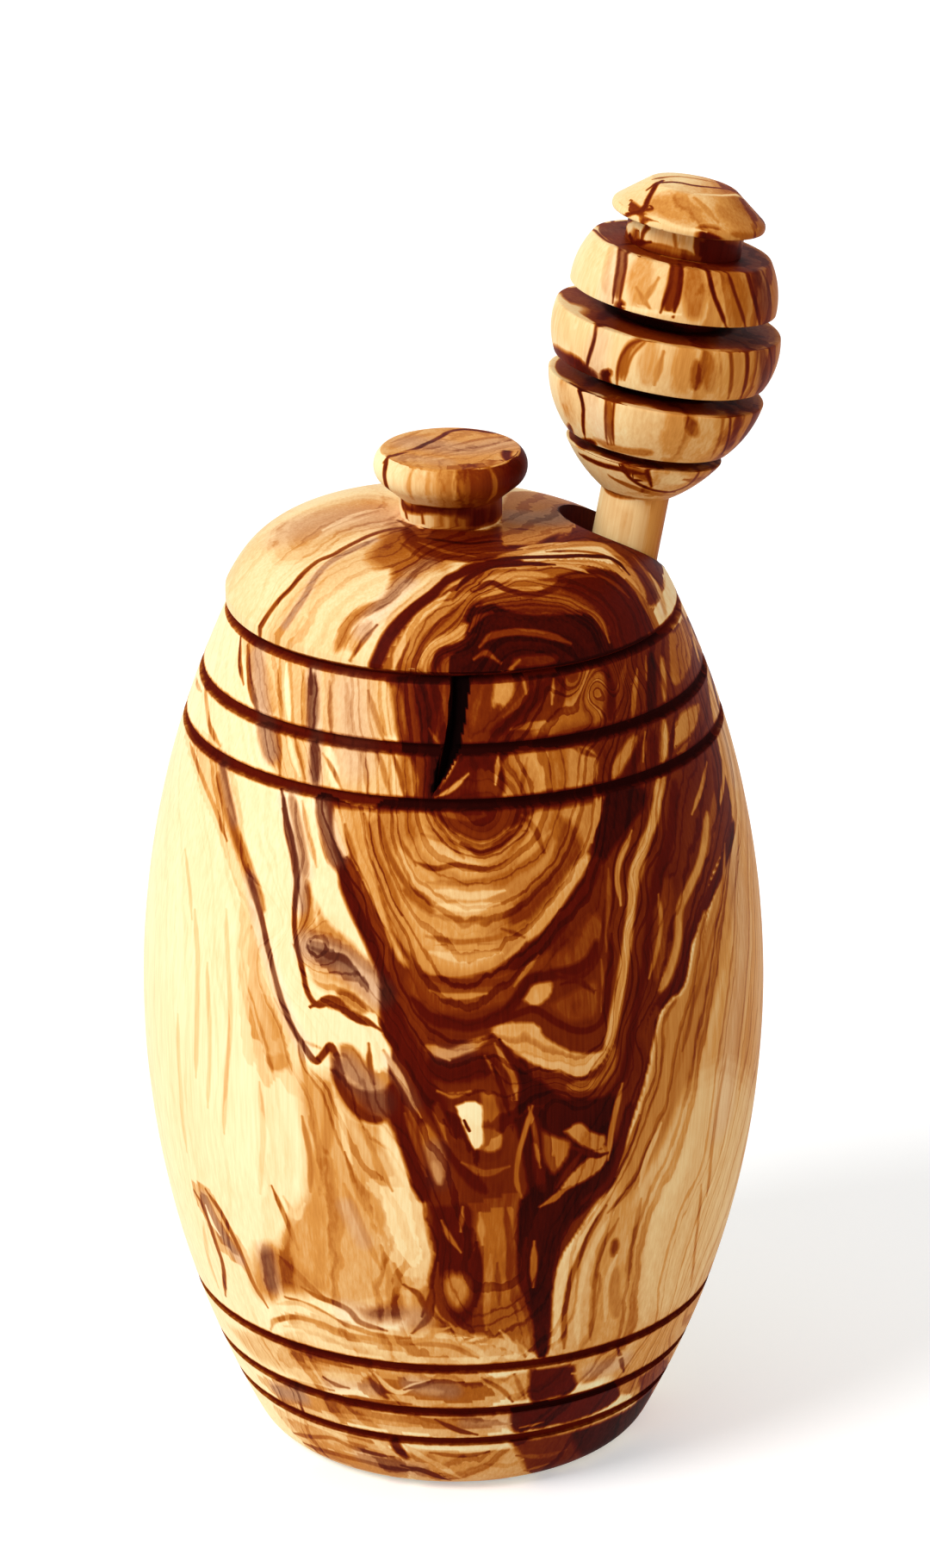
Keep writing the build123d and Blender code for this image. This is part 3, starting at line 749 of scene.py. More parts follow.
    (0.4, 8, "721,1264 714,1290 708,1316 705,1342"), (0.84, 7, "668,1334 690,1342 700,1340"),
    (0.8, 8, "648,1374 664,1352 672,1340"), (0.52, 9, "628,1398 642,1390 656,1380"),
    (0.92, 18, "692,1376 674,1394 657,1412 644,1436"),
    # trunk
    (0.5, 9, "618,1446 618,1470 617,1490"), (0.84, 7, "608,1442 606,1482 611,1506"),
    (0.86, 9, "552,1446 553,1480 549,1512"), (0.86, 11, "525,1448 530,1462 528,1476"),
    (0.46, 6, "513,1420 520,1436 530,1450"), (0.46, 6, "536,1405 534,1425"),
    (0.64, 8, "586,1405 590,1440 590,1490"), (0.42, 9, "568,1460 564,1500 562,1540"),
    (0.6, 7, "576,1470 578,1510"), (0.66, 8, "506,1470 500,1500 490,1525"),
    (0.46, 7, "600,1516 608,1545 612,1565"), (0.38, 9, "556,1412 558,1440"),
    (0.42, 8, "510,1530 530,1544 545,1552"), (0.26, 9, "556,1558 580,1560 600,1570"),
    (0.24, 7, "580,1548 592,1560"), (0.16, 10, "692,1404 672,1440 655,1478 645,1520 642,1562"),
    (0.52, 7, "700,1404 682,1436 663,1480 654,1520 652,1562"),
    (0.22, 8, "708,1412 692,1440 676,1478 668,1520 668,1556"),
    (0.42, 6, "714,1420 698,1450 688,1490 684,1530 684,1552"), (0.2, 7, "712,1462 702,1490 700,1530"),
    (0.6, 12, "712,1442 711,1456"), (0.43, 14, "713,1474 711,1500 713,1528"),
    (0.24, 6, "726,1440 724,1490 724,1530"), (0.38, 6, "742,1396 734,1440 729,1482"),
    # lower left
    (0.15, 9, "226,1060 228,1110 228,1160 227,1200 226,1245"),
    (0.15, 7, "262,1060 264,1120 266,1180 262,1240 258,1310"), (0.14, 7, "215,990 220,1030 222,1060"),
    (0.15, 7, "240,1120 242,1200 240,1280"), (0.13, 9, "205,1180 208,1260 214,1330"),
    (0.14, 8, "300,1260 304,1320 300,1380"), (0.32, 7, "346,1210 352,1240 360,1275"),
    (0.36, 12, "378,1258 379,1295 376,1335"), (0.34, 7, "350,1300 358,1340 358,1378"),
    (0.16, 9, "390,1280 396,1305 402,1340 410,1372"), (0.36, 8, "400,1378 410,1402 421,1432 438,1468"),
    (0.38, 7, "422,1312 436,1345 452,1378"), (0.36, 6, "400,1340 410,1372 420,1400"),
    (0.34, 7, "316,1380 325,1402 335,1428 342,1446"), (0.14, 9, "330,1392 342,1412 350,1400"),
    (0.35, 6, "430,1340 440,1365"), (0.36, 7, "442,1450 450,1480 448,1500"), (0.36, 7, "458,1470 466,1490"),
    (0.52, 8, "225,1384 232,1396 240,1416 248,1442 256,1468 259,1500"),
    (0.5, 8, "239,1383 252,1402 262,1422 272,1442 282,1466 292,1490 305,1512"),
    (0.03, 7, "238,1402 244,1418 250,1428"), (0.14, 8, "234,1420 240,1460 250,1490"),
    (0.42, 9, "325,1460 340,1474 355,1490 372,1504"),
    (0.46, 8, "352,1496 370,1506 390,1513 404,1521 416,1535 442,1543"),
    (0.34, 7, "332,1506 360,1516 385,1531 410,1541 432,1549 470,1553"),
    (0.32, 7, "312,1540 316,1531 340,1528 366,1534 392,1546 422,1553 452,1558 490,1556 502,1546 516,1541"),
    (0.14, 7, "322,1512 345,1512 372,1526 400,1542"), (0.13, 6, "330,1538 362,1541 395,1556 430,1562"),
    (0.62, 8, "470,1492 484,1502 492,1520"), (0.6, 8, "500,1500 495,1530 480,1545"),
    (0.66, 9, "506,1495 510,1520 524,1536"), (0.42, 7, "480,1560 520,1562 548,1574"),
    (0.2, 7, "520,1552 545,1562 560,1575"), (0.36, 6, "600,1560 606,1572"),
    # lower bands and foot
    (0.5, 8, "352,1572 380,1580 402,1586"), (0.48, 9, "376,1600 386,1606 398,1610"),
    (0.62, 10, "426,1600 434,1612 446,1622"), (0.18, 8, "434,1596 446,1609 460,1616 476,1609 492,1603"),
    (0.6, 6, "470,1612 500,1604 530,1604"), (0.4, 10, "484,1614 510,1616"),
    (0.46, 6, "560,1602 578,1612 590,1624"), (0.22, 6, "566,1598 584,1608 596,1622"),
    (0.44, 6, "596,1598 606,1620"), (0.6, 6, "715,1568 722,1590"), (0.28, 8, "690,1586 720,1574"),
    (0.24, 10, "740,1562 770,1548"), (0.3, 7, "665,1594 690,1592"), (0.26, 8, "330,1600 350,1605 380,1612"),
    (0.46, 6, "400,1620 440,1626 470,1630"), (0.28, 8, "380,1640 430,1648 480,1655"),
    (0.46, 8, "484,1646 506,1652"), (0.64, 8, "506,1650 530,1661 546,1665"), (0.34, 9, "552,1650 585,1652"),
    (0.38, 6, "604,1656 624,1652"), (0.52, 7, "345,1630 350,1640"),
    (0.48, 7, "340,1664 380,1669 410,1681 450,1690"), (0.18, 8, "375,1660 410,1672 442,1681"),
    (0.54, 8, "352,1676 400,1691 440,1701 472,1706"), (0.74, 11, "452,1668 458,1680 468,1692"),
    (0.18, 9, "468,1678 486,1690 506,1701 528,1714"), (0.56, 9, "468,1702 490,1708 515,1718"),
    (0.24, 12, "532,1700 548,1710 560,1718"), (0.5, 7, "500,1686 530,1690 560,1686"),
    (0.34, 8, "560,1700 585,1702 600,1696"), (0.6, 8, "600,1690 630,1690 650,1684"),
    (0.52, 7, "610,1706 630,1700"),
    # left: the brown line beside the pale strip, and the grey band
    (0.36, 15.4, "253.8,900 269.2,953.8 288.5,1007.7 303.8,1053.8"),
    (0.05, 10, "307.7,923.1 318.5,976.9 325.4,1053.8 332.7,1107.7 346.2,1153.8 365.4,1196.2"),
    (0.48, 8, "265.4,942.3 278.8,984.6 292.3,1026.9 305.8,1076.9 314.6,1115.4"),
    (0.6, 7, "288.5,1007.7 300,1053.8 311.5,1100 323.1,1146.2 336.5,1186.5 351.9,1213.5 364.2,1229.2"),
    (0.5, 9.2, "328.8,942.3 335.4,969.2 342.3,996.2 345.4,1023.1"),
    (0.66, 6, "327.7,919.2 331.5,946.2 339.2,973.1 344.6,1015.4 342.3,1061.5 344.6,1092.3 350.8,1123.1 "
        "356.2,1150 366.2,1165.4 378.8,1165.4"), (0.42, 11.5, "355.8,1030.8 353.8,1061.5 350.8,1084.6"),
    (0.6, 10, "380.8,1165.4 394.2,1166.2 405.8,1175.4 425,1186.5"),
    # right: long dark and light lines
    (0.6, 23, "775,1026.9 769.2,1073.1 763.5,1130.8"),
    (0.88, 17, "784.6,911.5 780.8,957.7 766.2,1007.7 755.8,1053.8"),
    (0.88, 11, "755.8,1053.8 749.2,1115.4 743.1,1146.2 734.6,1192.3 723.8,1246.2 711.5,1270"),
    (0.6, 15.4, "830.8,923.1 826.9,961.5 821.2,992.3"),
    (0.87, 15.4, "851.9,957.7 840.4,1000 825,1038.5 809.6,1069.2"),
    (0.87, 13, "809.6,1069.2 798.1,1100 792.3,1130.8 773.8,1156.9 761.5,1173.8"),
    (0.73, 13, "761.5,1173.8 751.9,1207.7 742.3,1246.2 731.5,1284.6"),
    (0.87, 11.5, "731.5,1284.6 721.5,1315.4 715.4,1353.8 703.1,1377.7 676.9,1396.2"),
    (0.33, 12, "766.2,905.8 761.5,950 746.2,984.6 735.4,1015.4 733.1,1053.8 727.7,1100 720,1146.2 "
        "710.4,1192.3 704.6,1219.2"),
    (0.38, 13, "821.2,946.2 813.5,1000 800,1030.8 789.2,1057.7 786.9,1092.3 777.7,1126.9 766.2,1149.2"),
    (0.4, 6, "765.4,1043.1 767.7,1069.2 763.5,1100 754.6,1130.8"),
    (0.38, 7, "733.1,969.2 720,1000 716.2,1023.1 720,1046.2"),
    (0.36, 8.5, "693.1,921.2 692.3,950 688.5,973.1"),
    # tan along the right side of the V
    (0.38, 15, "819,1062 810,1106 802,1146 790,1164 775,1178 766,1220 752,1286 734,1332"),
    (0.5, 5, "614,1290 620,1315 626,1350"), (0.62, 14, "789,704 796,719 801,736"),
    (0.68, 17, "823,772 830,797 835,820"),
    # grey band right of the thin left line
    (0.36, 12, "338,924 345,955 351,985 354,1012"), (0.18, 8, "352,935 358,965 366,1000"),
    # lighter grain in the left arm of the V
    (0.66, 7, "404,1000 414,1030 428,1062 440,1090 450,1120"),
    (0.68, 7, "450,1105 462,1140 478,1170 492,1198"), (0.66, 6, "424,1030 436,1062 448,1090"),
    (0.7, 7, "462,1225 474,1256 488,1292"), (0.62, 6, "470,1296 482,1330 492,1360"),
)
barrelRings = {
    -4: "170,1000 165,1150 185,1300 215,1420 250,1520 300,1610 880,1000 886,1150 872,1260 850,1350 "
        "810,1470 780,1540",
    -1: "226,900 240,1000 250,1150 245,1300 262,1450 300,1560 350,1660 858,1000 855,1100 835,1250 820,1350 "
        "780,1450 760,1540",
    1: "262,800 268,900 285,1000 300,1100 330,1200 352,1260 372,1330 392,1420 842,880 848,950 836,1010 "
        "815,1080 800,1160 780,1240 750,1330 715,1400 690,1480 680,1550",
    2: "285,745 300,840 323,910 331,1000 336,1080 350,1180 366,1231 392,1245 410,1285 450,1345 480,1400 "
        "500,1450 795,735 815,830 825,900 815,980 795,1040 780,1110 755,1175 745,1240 720,1330 690,1390 "
        "650,1450 636,1520",
    3: "325,765 335,850 345,950 347,1030 341,1085 360,1150 400,1165 430,1190 462,1250 500,1330 530,1400 "
        "545,1470 772,765 778,860 770,940 750,1020 738,1100 722,1200 700,1262 650,1280 626,1330 610,1400 "
        "600,1480",
    4: "362,775 362,850 370,940 392,1000 418,1045 440,1100 460,1180 500,1245 560,1235 610,1255 680,1262 "
        "712,1200 724,1110 735,1040 748,970 755,900 757,800",
    5: "400,790 402,860 405,930 420,990 445,1050 465,1110 490,1165 540,1190 600,1165 640,1125 668,1085 "
        "690,1050 704,1000 718,940 725,860 728,780",
    6: "432,800 437,870 440,940 452,995 475,1050 510,1085 560,1100 605,1075 640,1040 668,1000 688,950 "
        "695,880 690,800",
    7: "462,790 468,870 470,940 478,985 505,1020 550,1035 600,1015 635,985 655,945 664,900 668,870 690,830 "
        "712,790",
    7.5: "625,870 655,835 680,795",
    8: "488,790 495,860 498,930 510,965 545,990 585,980 610,950 585,868 612,835 645,792",
    8.6: "552,900 562,855 585,818 605,790",
    9: "528,940 545,960 565,962 580,944",
}
barrelAsh = (
    (0.9, 34, "300,758 306,830 314,872"), (0.9, 26, "365,780 366,840 367,902"),
    (0.55, 70, "405,800 410,850 412,880"), (0.85, 26, "330,925 338,960 346,1000 348,1050"),
    (0.85, 30, "374,932 384,970 392,995"), (0.6, 22, "258,880 272,950"),
    (0.7, 26, "290,1020 300,1070 315,1120 335,1180 355,1220"),
    (0.9, 46, "355,1098 385,1108 415,1128 440,1152"), (0.7, 46, "400,1238 425,1262 440,1278"),
    (0.7, 36, "305,1452 314,1490"), (0.8, 26, "235,1390 255,1430 275,1460"),
    (0.55, 46, "400,1522 440,1530 480,1530"), (0.6, 34, "475,1606 520,1614"),
    (0.5, 30, "380,1606 430,1612"), (0.9, 34, "318,1612 346,1620"), (0.5, 34, "684,1592 722,1580"),
    (0.35, 70, "852,1000 862,1100 850,1200 838,1300"), (0.5, 44, "838,840 852,900"),
    (0.45, 30, "400,1400 420,1440"), (0.5, 40, "420,1690 480,1706"), (0.4, 30, "540,1652 590,1650"),
    (0.5, 24, "450,1230 480,1280"), (0.4, 36, "505,1335 508,1370"), (0.4, 30, "512,1225 540,1220"),
    (0.7, 30, "338,924 346,965 354,1012"),
)
# round the right side, where the tan wood runs out; the tone there is partly painted shade away from the key
# light
barrelSide = (
    (0.25, 3, ((70, 118), (100, 118), (109, 106), (99, 94), (104, 80), (115, 68), (108, 54), (97, 45),
        (103, 34), (110, 22), (97, 10), (92, 1), (70, 1), (64, 30), (70, 60), (66, 90))),
    (0.14, 3, ((96, 100), (103, 106), (107, 96), (102, 88))),
    (0.16, 3, ((104, 70), (110, 64), (106, 56), (101, 60))),
)
barrelSideStreaks = (
    (0.38, 1.5, ((88, 117), (93, 98), (97, 76), (102, 60), (96, 44), (92, 26), (94, 6))),
    (0.38, 1.4, ((99, 112), (103, 104), (98, 92), (102, 78), (110, 68))),
    (0.12, 1.8, ((91, 108), (95, 90), (99, 78))), (0.38, 1.3, ((84, 42), (88, 26), (85, 6))),
    (0.12, 1.6, ((89, 56), (92, 40), (89, 24))), (0.28, 1.5, ((106, 36), (110, 26), (101, 12))),
)
barrelBack = {
    -4: ((105, 110), (110, 64), (105, 15), (-105, 110), (-110, 64), (-105, 15)),
    1: ((140, 112), (138, 64), (142, 12), (-142, 112), (-146, 64), (-140, 12)),
    3: ((165, 112), (168, 80), (172, 40), (-165, 112), (-162, 60), (-170, 12)),
}


def figure(lines, locate):
    points, values = [], []
    for ring, spots in lines.items():
        for spot in spots:
            points.append(locate(*spot))
            values.append(ring)
    return points, values


# how close the spots of a drawn line lie, and how a line runs out: the share of its width that is left at the
# end, and over how many widths it gets there
brush = {"gap": 0.35, "fineGap": 0.25, "roughGap": 0.8, "broadEnd": (0.6, 1.8), "fineEnd": (0.35, 2.5)}


def smoothLine(points, gap=brush["gap"], beyond=0.0):
    # a soft curve through the given points, as close spots, drawn on past both ends if asked
    points = np.asarray(points, float)
    if beyond:
        for end, before in ((0, 1), (-1, -2)):
            way = points[end] - points[before]
            points[end] += beyond * way / np.linalg.norm(way)
    ends = np.vstack([2 * points[0] - points[1], points, 2 * points[-1] - points[-2]])
    made = []
    for a, b, c, d in zip(ends, ends[1:], ends[2:], ends[3:]):
        count = max(2, int(np.linalg.norm(c - b) / gap))
        for t in np.arange(count) / count:
            bend, twist = 2 * a - 5 * b + 4 * c - d, 3 * b - a - 3 * c + d
            made.append(0.5 * (2 * b + (c - a) * t + bend * t**2 + twist * t**3))
    return np.array(made + [points[-1]])


def taper(line, gap, width, end):
    share, run = end
    step = np.arange(len(line)) * gap
    return np.clip(share + np.minimum(step, step[::-1]) / (run * width), share, 1)


def nearest(spots, line, reach):
    # distance to the line and place along it, for the spots within reach
    near = np.flatnonzero(((spots > line.min(0) - reach) & (spots < line.max(0) + reach)).all(1))
    if not len(near):
        return near, np.empty(0), np.empty(0, int)
    gaps = np.sqrt(((spots[near][:, None] - line[None]) ** 2).sum(2))
    place = gaps.argmin(1)
    return near, gaps[np.arange(len(near)), place], place


# Depth of colour: one level for each pair of neighbouring steps, a signed distance in millimetres to the edge
# where the wood gets that much darker.
woodSteps = (0.04, 0.11, 0.19, 0.28, 0.38, 0.48, 0.60, 0.72, 0.83, 0.94)
edgeBlur = 0.28
farIn = 1.2
threadSets, threadRoom, threadReach = 3, 1.9, 1.8


def wash(levels, inside, target, soft=None):
    # inside is the signed distance into the wash; a soft edge is drawn out over `soft` millimetres. A single
    # tone goes to the nearest step, which keeps its edge true between the mesh points.
    if np.ndim(target) == 0:
        target = min(woodSteps, key=lambda step: abs(step - target))
    if soft is not None:
        inside = inside * 2 * edgeBlur / soft
    for level, (lighter, darker) in enumerate(zip(woodSteps, woodSteps[1:])):
        share = (target - lighter) / (darker - lighter)
        goal = np.where(share >= 1, farIn, np.where(share <= 0, -farIn, edgeBlur * (2 * share - 1)))
        now = levels[level]
        levels[level] = np.where(now > goal, np.maximum(goal, np.minimum(now, -inside)),
                                 np.minimum(goal, np.maximum(now, inside)))


def within(x, y, ring):
    # which of the flat spots lie inside a closed outline
    inside = np.zeros(len(x), bool)
    (left, low), (right, high) = np.min(ring, axis=0), np.max(ring, axis=0)
    around = np.flatnonzero((x > left) & (x < right) & (y > low) & (y < high))
    x, y = x[around], y[around]
    for (ax, ay), (bx, by) in zip(ring[:-1], ring[1:]):
        if ay != by:
            inside[around] ^= ((ay > y) != (by > y)) & (x < (bx - ax) * (y - ay) / (by - ay) + ax)
    return inside


def layStain(spots, flat, base, patches, streaks, locate, beyond=0.0):
    # patches are (tone, soft edge, outline) and streaks (tone, width, line), laid over one another
    levels = np.full((len(woodSteps) - 1, len(spots)), -farIn)
    wash(levels, np.full(len(spots), farIn), base)
    x, y = flat[:, 0], flat[:, 1]
    for target, soft, outline in patches:
        edge = smoothLine([locate(*spot) for spot in [*outline, outline[0]]])
        ring = smoothLine([spot[:2] for spot in [*outline, outline[0]]], brush["roughGap"])
        inside = within(x, y, ring)
        reach = max(soft, 1.0) * 4
        depth = np.where(inside, reach, -reach)
        near, gap, _ = nearest(spots, edge, reach)
        depth[near] = np.where(inside[near], gap, -gap)
        # a soft edge of whole millimetres falls in terraces a millimetre wide
        if soft == int(soft):
            depth = np.trunc(depth)
        # a narrow patch keeps a crisper edge, or its middle would not reach its tone
        wash(levels, depth, target, min(soft, 1.2 * max(depth.max(), 0.35)))
    for target, width, points in streaks:
        line = smoothLine([locate(*spot) for spot in points], beyond=beyond)
        near, gap, place = nearest(spots, line, 0.5 * width + 1.6)
        if not len(near):
            continue
        half = 0.5 * width * taper(line, brush["gap"], width, brush["broadEnd"])[place] + 0.06
        part = levels[:, near]
        wash(part, half - gap, target, max(2 * edgeBlur, 0.3 * width))
        levels[:, near] = part
    return levels


def threads(piece, spots, lines, locate, beyond=0.0):
    # fine lines: distance across the nearest one, plain distance, its half width and its tone. Lines that run
    # close together go into different sets, since one set can't tell them apart between two mesh points.
    farAway = 9.0
    sets = [[np.full(len(spots), value) for value in (2.0, farAway, 0.0, 0.0)] for _ in range(threadSets)]
    drawn = [[] for _ in range(threadSets)]
    normals = np.empty(len(spots) * 3)
    piece.data.vertices.foreach_get("normal", normals)
    normals = normals.reshape(-1, 3)
    for target, width, points in lines:
        line = smoothLine([locate(*spot) for spot in points], brush["fineGap"], beyond)
        thinned = line[::3]
        room = [min([farAway] + [np.linalg.norm(thinned[:, None] - other, axis=2).min() for other in others])
                for others in drawn]
        home = next((index for index, free in enumerate(room) if free > threadRoom), int(np.argmax(room)))
        drawn[home].append(thinned)
        across, away, half, tone = sets[home]
        near, _, place = nearest(spots, line, threadReach)
        way = np.gradient(line, axis=0)
        way /= np.linalg.norm(way, axis=1)[:, None]
        offset = spots[near] - line[place]
        side = (np.cross(way[place], offset) * normals[near]).sum(1)
        past = np.maximum(np.abs((offset * way[place]).sum(1)) - 0.13, 0)
        gap = np.hypot(side, past)
        halfHere = 0.5 * width * taper(line, brush["fineGap"], width, brush["fineEnd"])[place]
        closer = gap - halfHere < (away - half)[near]
        pick = near[closer]
        across[pick], away[pick], half[pick], tone[pick] = side[closer], gap[closer], halfHere[closer], target
    return sets


threadNames = ("across", "away", "halfWidth", "lineTone")


def paintThreads(piece, sets):
    for index, known in enumerate(sets):
        for name, values in zip(threadNames, known):
            paint(piece, f"{name}{index + 1}", values)


def paintLevels(piece, levels):
    for index, level in enumerate(levels):
        paint(piece, f"level{index + 1}", level)


def haze(spots, puffs, locate):
    # greyer wood: puffs are (strength, width, line), fading outward
    made = np.zeros(len(spots))
    for strength, width, points in puffs:
        line = smoothLine([locate(*spot) for spot in points], brush["roughGap"])
        near, gap, _ = nearest(spots, line, 0.5 * width)
        made[near] = np.maximum(made[near], strength * (1 - (2 * gap / width) ** 2).clip(0, 1))
    return made


def ragged(spots, amount, size, stretch=2.5):
    # the washes run a little ragged along the grain
    made = spots.copy()
    for index, (x, y, z) in enumerate(spots):
        made[index] += np.array(noise.noise_vector(Vector((x / size, y / size, z / size / stretch)))) * amount
    return made


barrelSpots = meshPoints(barrel)
loose = ragged(barrelSpots, pot["raggedBy"], pot["raggedSize"])
flat = np.column_stack([np.degrees(np.arctan2(loose[:, 0], -loose[:, 1])), loose[:, 2]])
allRings = {ring: drawnOnBarrel(barrelRings.get(ring, "")) + list(barrelBack.get(ring, ()))
            for ring in {*barrelRings, *barrelBack}}
paint(barrel, "growth", growthField(*figure(allRings, onBarrel), barrelSpots))
broadLines, fineLines = broadAndFine(barrelLines, drawnOnBarrel)
allPatches = [*barrelSide, *drawnRows(barrelPatches, drawnOnBarrel)]
allStreaks = [*barrelSideStreaks, *broadLines]
paintLevels(barrel, layStain(loose, flat, pot["baseTone"], allPatches, allStreaks, onBarrel))
paintThreads(barrel, threads(barrel, loose, fineLines, onBarrel))
paint(barrel, "ash", haze(barrelSpots, drawnRows(barrelAsh, drawnOnBarrel), onBarrel))


# the groove settings are for burnt wood; the seam settings paint shade along the joint of lid and pot
charAndShade = {"atGroove": 1.25, "fades": 1.3, "skin": 1.2, "seamHeight": 0.6, "seamFades": 0.7, "seamDepth": 1.5}


def barrelCharAndShade(spots):
    radius = np.hypot(spots[:, 0], spots[:, 1])
    skin = barrelRadius(np.clip(spots[:, 2], 0, pot["height"]))
    outside = radius > pot["mouthRadius"] + 0.6
    charAndShadeDepth = np.zeros(len(spots))
    for groove in pot["grooves"]:
        away = np.abs(spots[:, 2] - groove)
        charAndShadeDepth = np.maximum(charAndShadeDepth, np.clip(charAndShade["atGroove"] - away / charAndShade["fades"], 0, 1))
    charAndShadeDepth = np.where(outside & (skin - radius < charAndShade["skin"]), charAndShadeDepth, 0)
    # painted shade: the pot's top edge is darkened along the seam with the lid
    seam = np.clip(1 - (pot["height"] - charAndShade["seamHeight"] - spots[:, 2]) / charAndShade["seamFades"], 0, 1)
    seam *= radius > pot["rimRadius"] - charAndShade["seamDepth"]
    # painted shade: the check is painted dark out to its lips
    outline = [*check["outline"], check["outline"][0]]
    rise = (spots - rimFront) @ -np.array(downWall)
    front = (spots[:, 1] < 0) & outside
    inCheck = np.zeros(len(spots), bool)
    for nudge, lift in ((1, 0), (-1, 0), (0, 1), (0, -1)):
        inCheck |= within(spots[:, 0] + nudge * check["lips"], rise + lift * check["lips"], outline) & front
    return np.maximum.reduce([charAndShadeDepth, seam, inCheck * check["shadeInCheck"]])


paint(barrel, "charAndShade", barrelCharAndShade(barrelSpots))

crownPatches = (
    (0.28, 26, "330,610 380,585 430,575 462,585 466,600 440,612 405,622 360,640 330,640"),
    (0.2, 18, "306,750 330,702 356,668 395,645 440,625 470,616 470,650 450,657 400,680 375,700 360,735 "
        "345,775"),
    (0.46, 20, "438,632 452,612 458,604 470,611 500,628 525,640 520,656 500,663 485,673 466,683 452,690 "
        "452,668 440,658 430,646"),
    (0.44, 9, "430,800 448,752 468,722 500,695 535,670 560,658 620,655 700,655 742,680 760,720 740,775 "
        "690,800 600,808 520,806"),
    (0.13, 10, "345,780 360,735 375,700 400,680 430,665 455,660 450,690 420,700 400,715 392,740 386,785"),
    (0.6, 8, "486,800 494,762 510,745 530,722 545,703 560,688 590,680 640,682 672,690 700,708 716,735 "
        "726,775 690,800 600,806 520,804"),
    (0.74, 7, "466,610 500,613 560,613 584,609 602,630 600,645 560,652 520,650 492,642 475,630"),
    (0.72, 8, "586,640 600,634 640,626 680,612 700,600 740,606 768,640 772,680 760,705 748,690 728,655 "
        "712,640 700,632 660,632 630,636 600,643"),
    (0.78, 7, "650,668 700,660 725,672 745,700 754,722 744,745 716,752 708,728 692,706 668,690 650,682"),
    (0.97, 6, "504,800 512,770 528,753 541,744 539,724 548,706 565,697 582,704 600,711 640,714 682,711 "
        "704,730 713,752 712,790 640,804 560,806"),
    (0.4, 6, "584,586 600,570 652,576 694,582 700,600 690,612 660,622 625,630 592,636 584,622"),
)
crownLines = (
    (0.62, 7, "470,611 452,614 430,621 410,631 390,642 370,650 352,666 340,680 325,695 313,712 305,750"),
    (0.36, 9, "436,626 405,640 384,652 368,668 357,688 345,706 333,724 322,760"),
    (0.24, 7, "350,720 342,735 336,748"), (0.22, 6, "380,668 370,684 362,700"),
    (0.22, 9, "425,600 400,608 378,620 360,634"), (0.3, 6, "455,600 430,606 412,612"),
    (0.16, 9, "440,590 410,598 380,612"),
    (0.42, 13, "505,655 482,663 468,676 456,690 445,700 430,705 415,714 403,727 398,742 388,785"),
    (0.26, 12, "430,722 416,735 408,752"), (0.46, 6, "436,728 420,746 410,762"),
    (0.19, 8, "518,665 505,676 492,686 478,697 462,710 450,725"), (0.52, 6, "500,650 488,660 476,672"),
    (0.85, 15, "606,652 560,656 535,666 515,676 500,691 485,703 470,718 458,732 447,748 438,768 434,795"),
    (0.6, 6, "545,676 520,688 508,700"), (0.22, 9, "520,690 500,706 484,722 472,740 462,758 458,774"),
    (0.36, 11, "545,690 522,702 505,716 492,731 482,748 474,766"),
    (0.6, 7, "538,700 517,718 500,735 488,755 480,778"),
    (0.27, 12, "541,725 532,735 514,745 502,753 492,772"), (0.85, 9, "548,740 532,750 513,758 505,778"),
    (0.34, 8, "498,768 494,782"),
    # round the eye
    (0.62, 8, "562,748 572,739 590,734 615,734 638,737 660,745"),
    (0.97, 24, "560,756 590,750 620,746 650,738 684,739 702,748"), (0.95, 12, "640,724 665,722 692,732"),
    (0.66, 12, "600,768 625,766 645,764"), (0.58, 9, "556,762 566,758 578,766"),
    (0.45, 8, "600,770 590,780"), (0.66, 9, "548,728 556,718 568,712"),
    (0.5, 9, "556,694 580,687 610,688 640,690 664,697 685,708 700,722 708,740"),
    (0.32, 7, "566,690 600,683 640,685"), (0.62, 6, "560,702 575,696 600,700 640,705 672,712"),
    (0.75, 9, "556,684 572,676 590,684 620,690 642,684 662,672"),
    (0.26, 15, "566,675 590,669 615,667 634,668"), (0.28, 6, "560,682 575,678 600,685 625,682"),
    (0.86, 8, "535,682 548,669 566,659 600,655 642,655"), (0.52, 7, "530,694 545,680 560,668"),
    (0.27, 8, "618,652 650,655 674,660 686,666"), (0.66, 6, "655,672 690,668 712,676 728,690"),
    (0.9, 8, "572,651 608,647 650,646 700,646 716,651 730,664"),
    (0.4, 12, "580,648 600,642 630,635 662,632 698,632 712,640 728,655 740,672 750,692"),
    (0.22, 6, "600,639 630,632 655,630"), (0.52, 5, "640,640 680,640 706,646 722,660"),
    (0.88, 10, "590,636 640,627 700,621 722,625 746,640 764,656"), (0.3, 7, "690,612 712,616 730,622"),
    (0.55, 7, "740,650 754,668 766,690"), (0.26, 15, "756,668 768,690 774,712"),
    (0.5, 6, "750,700 760,722 766,742"), (0.4, 8, "758,735 756,755"),
    # end grain pores and growth streaks
    (0.52, 6, "598,613 616,615"), (0.46, 5, "636,580 648,583"), (0.45, 5, "632,607 642,609"),
    (0.42, 5, "606,590 616,592"), (0.44, 5, "620,600 630,601"), (0.4, 5, "650,600 662,606"),
    (0.42, 6, "590,604 600,604"), (0.38, 5, "604,622 622,622"),
    # dark red streaks below the knob: partly the wood, partly painted shade at the knob's foot
    (0.55, 6, "492,630 520,640 550,645"), (0.92, 6, "500,624 540,630 580,628"),
    (0.62, 6, "470,632 490,645 510,650"), (0.6, 5, "545,640 580,640 604,638"),
    (0.56, 9, "466,604 480,610 500,613 530,614 556,612 578,604"),
)
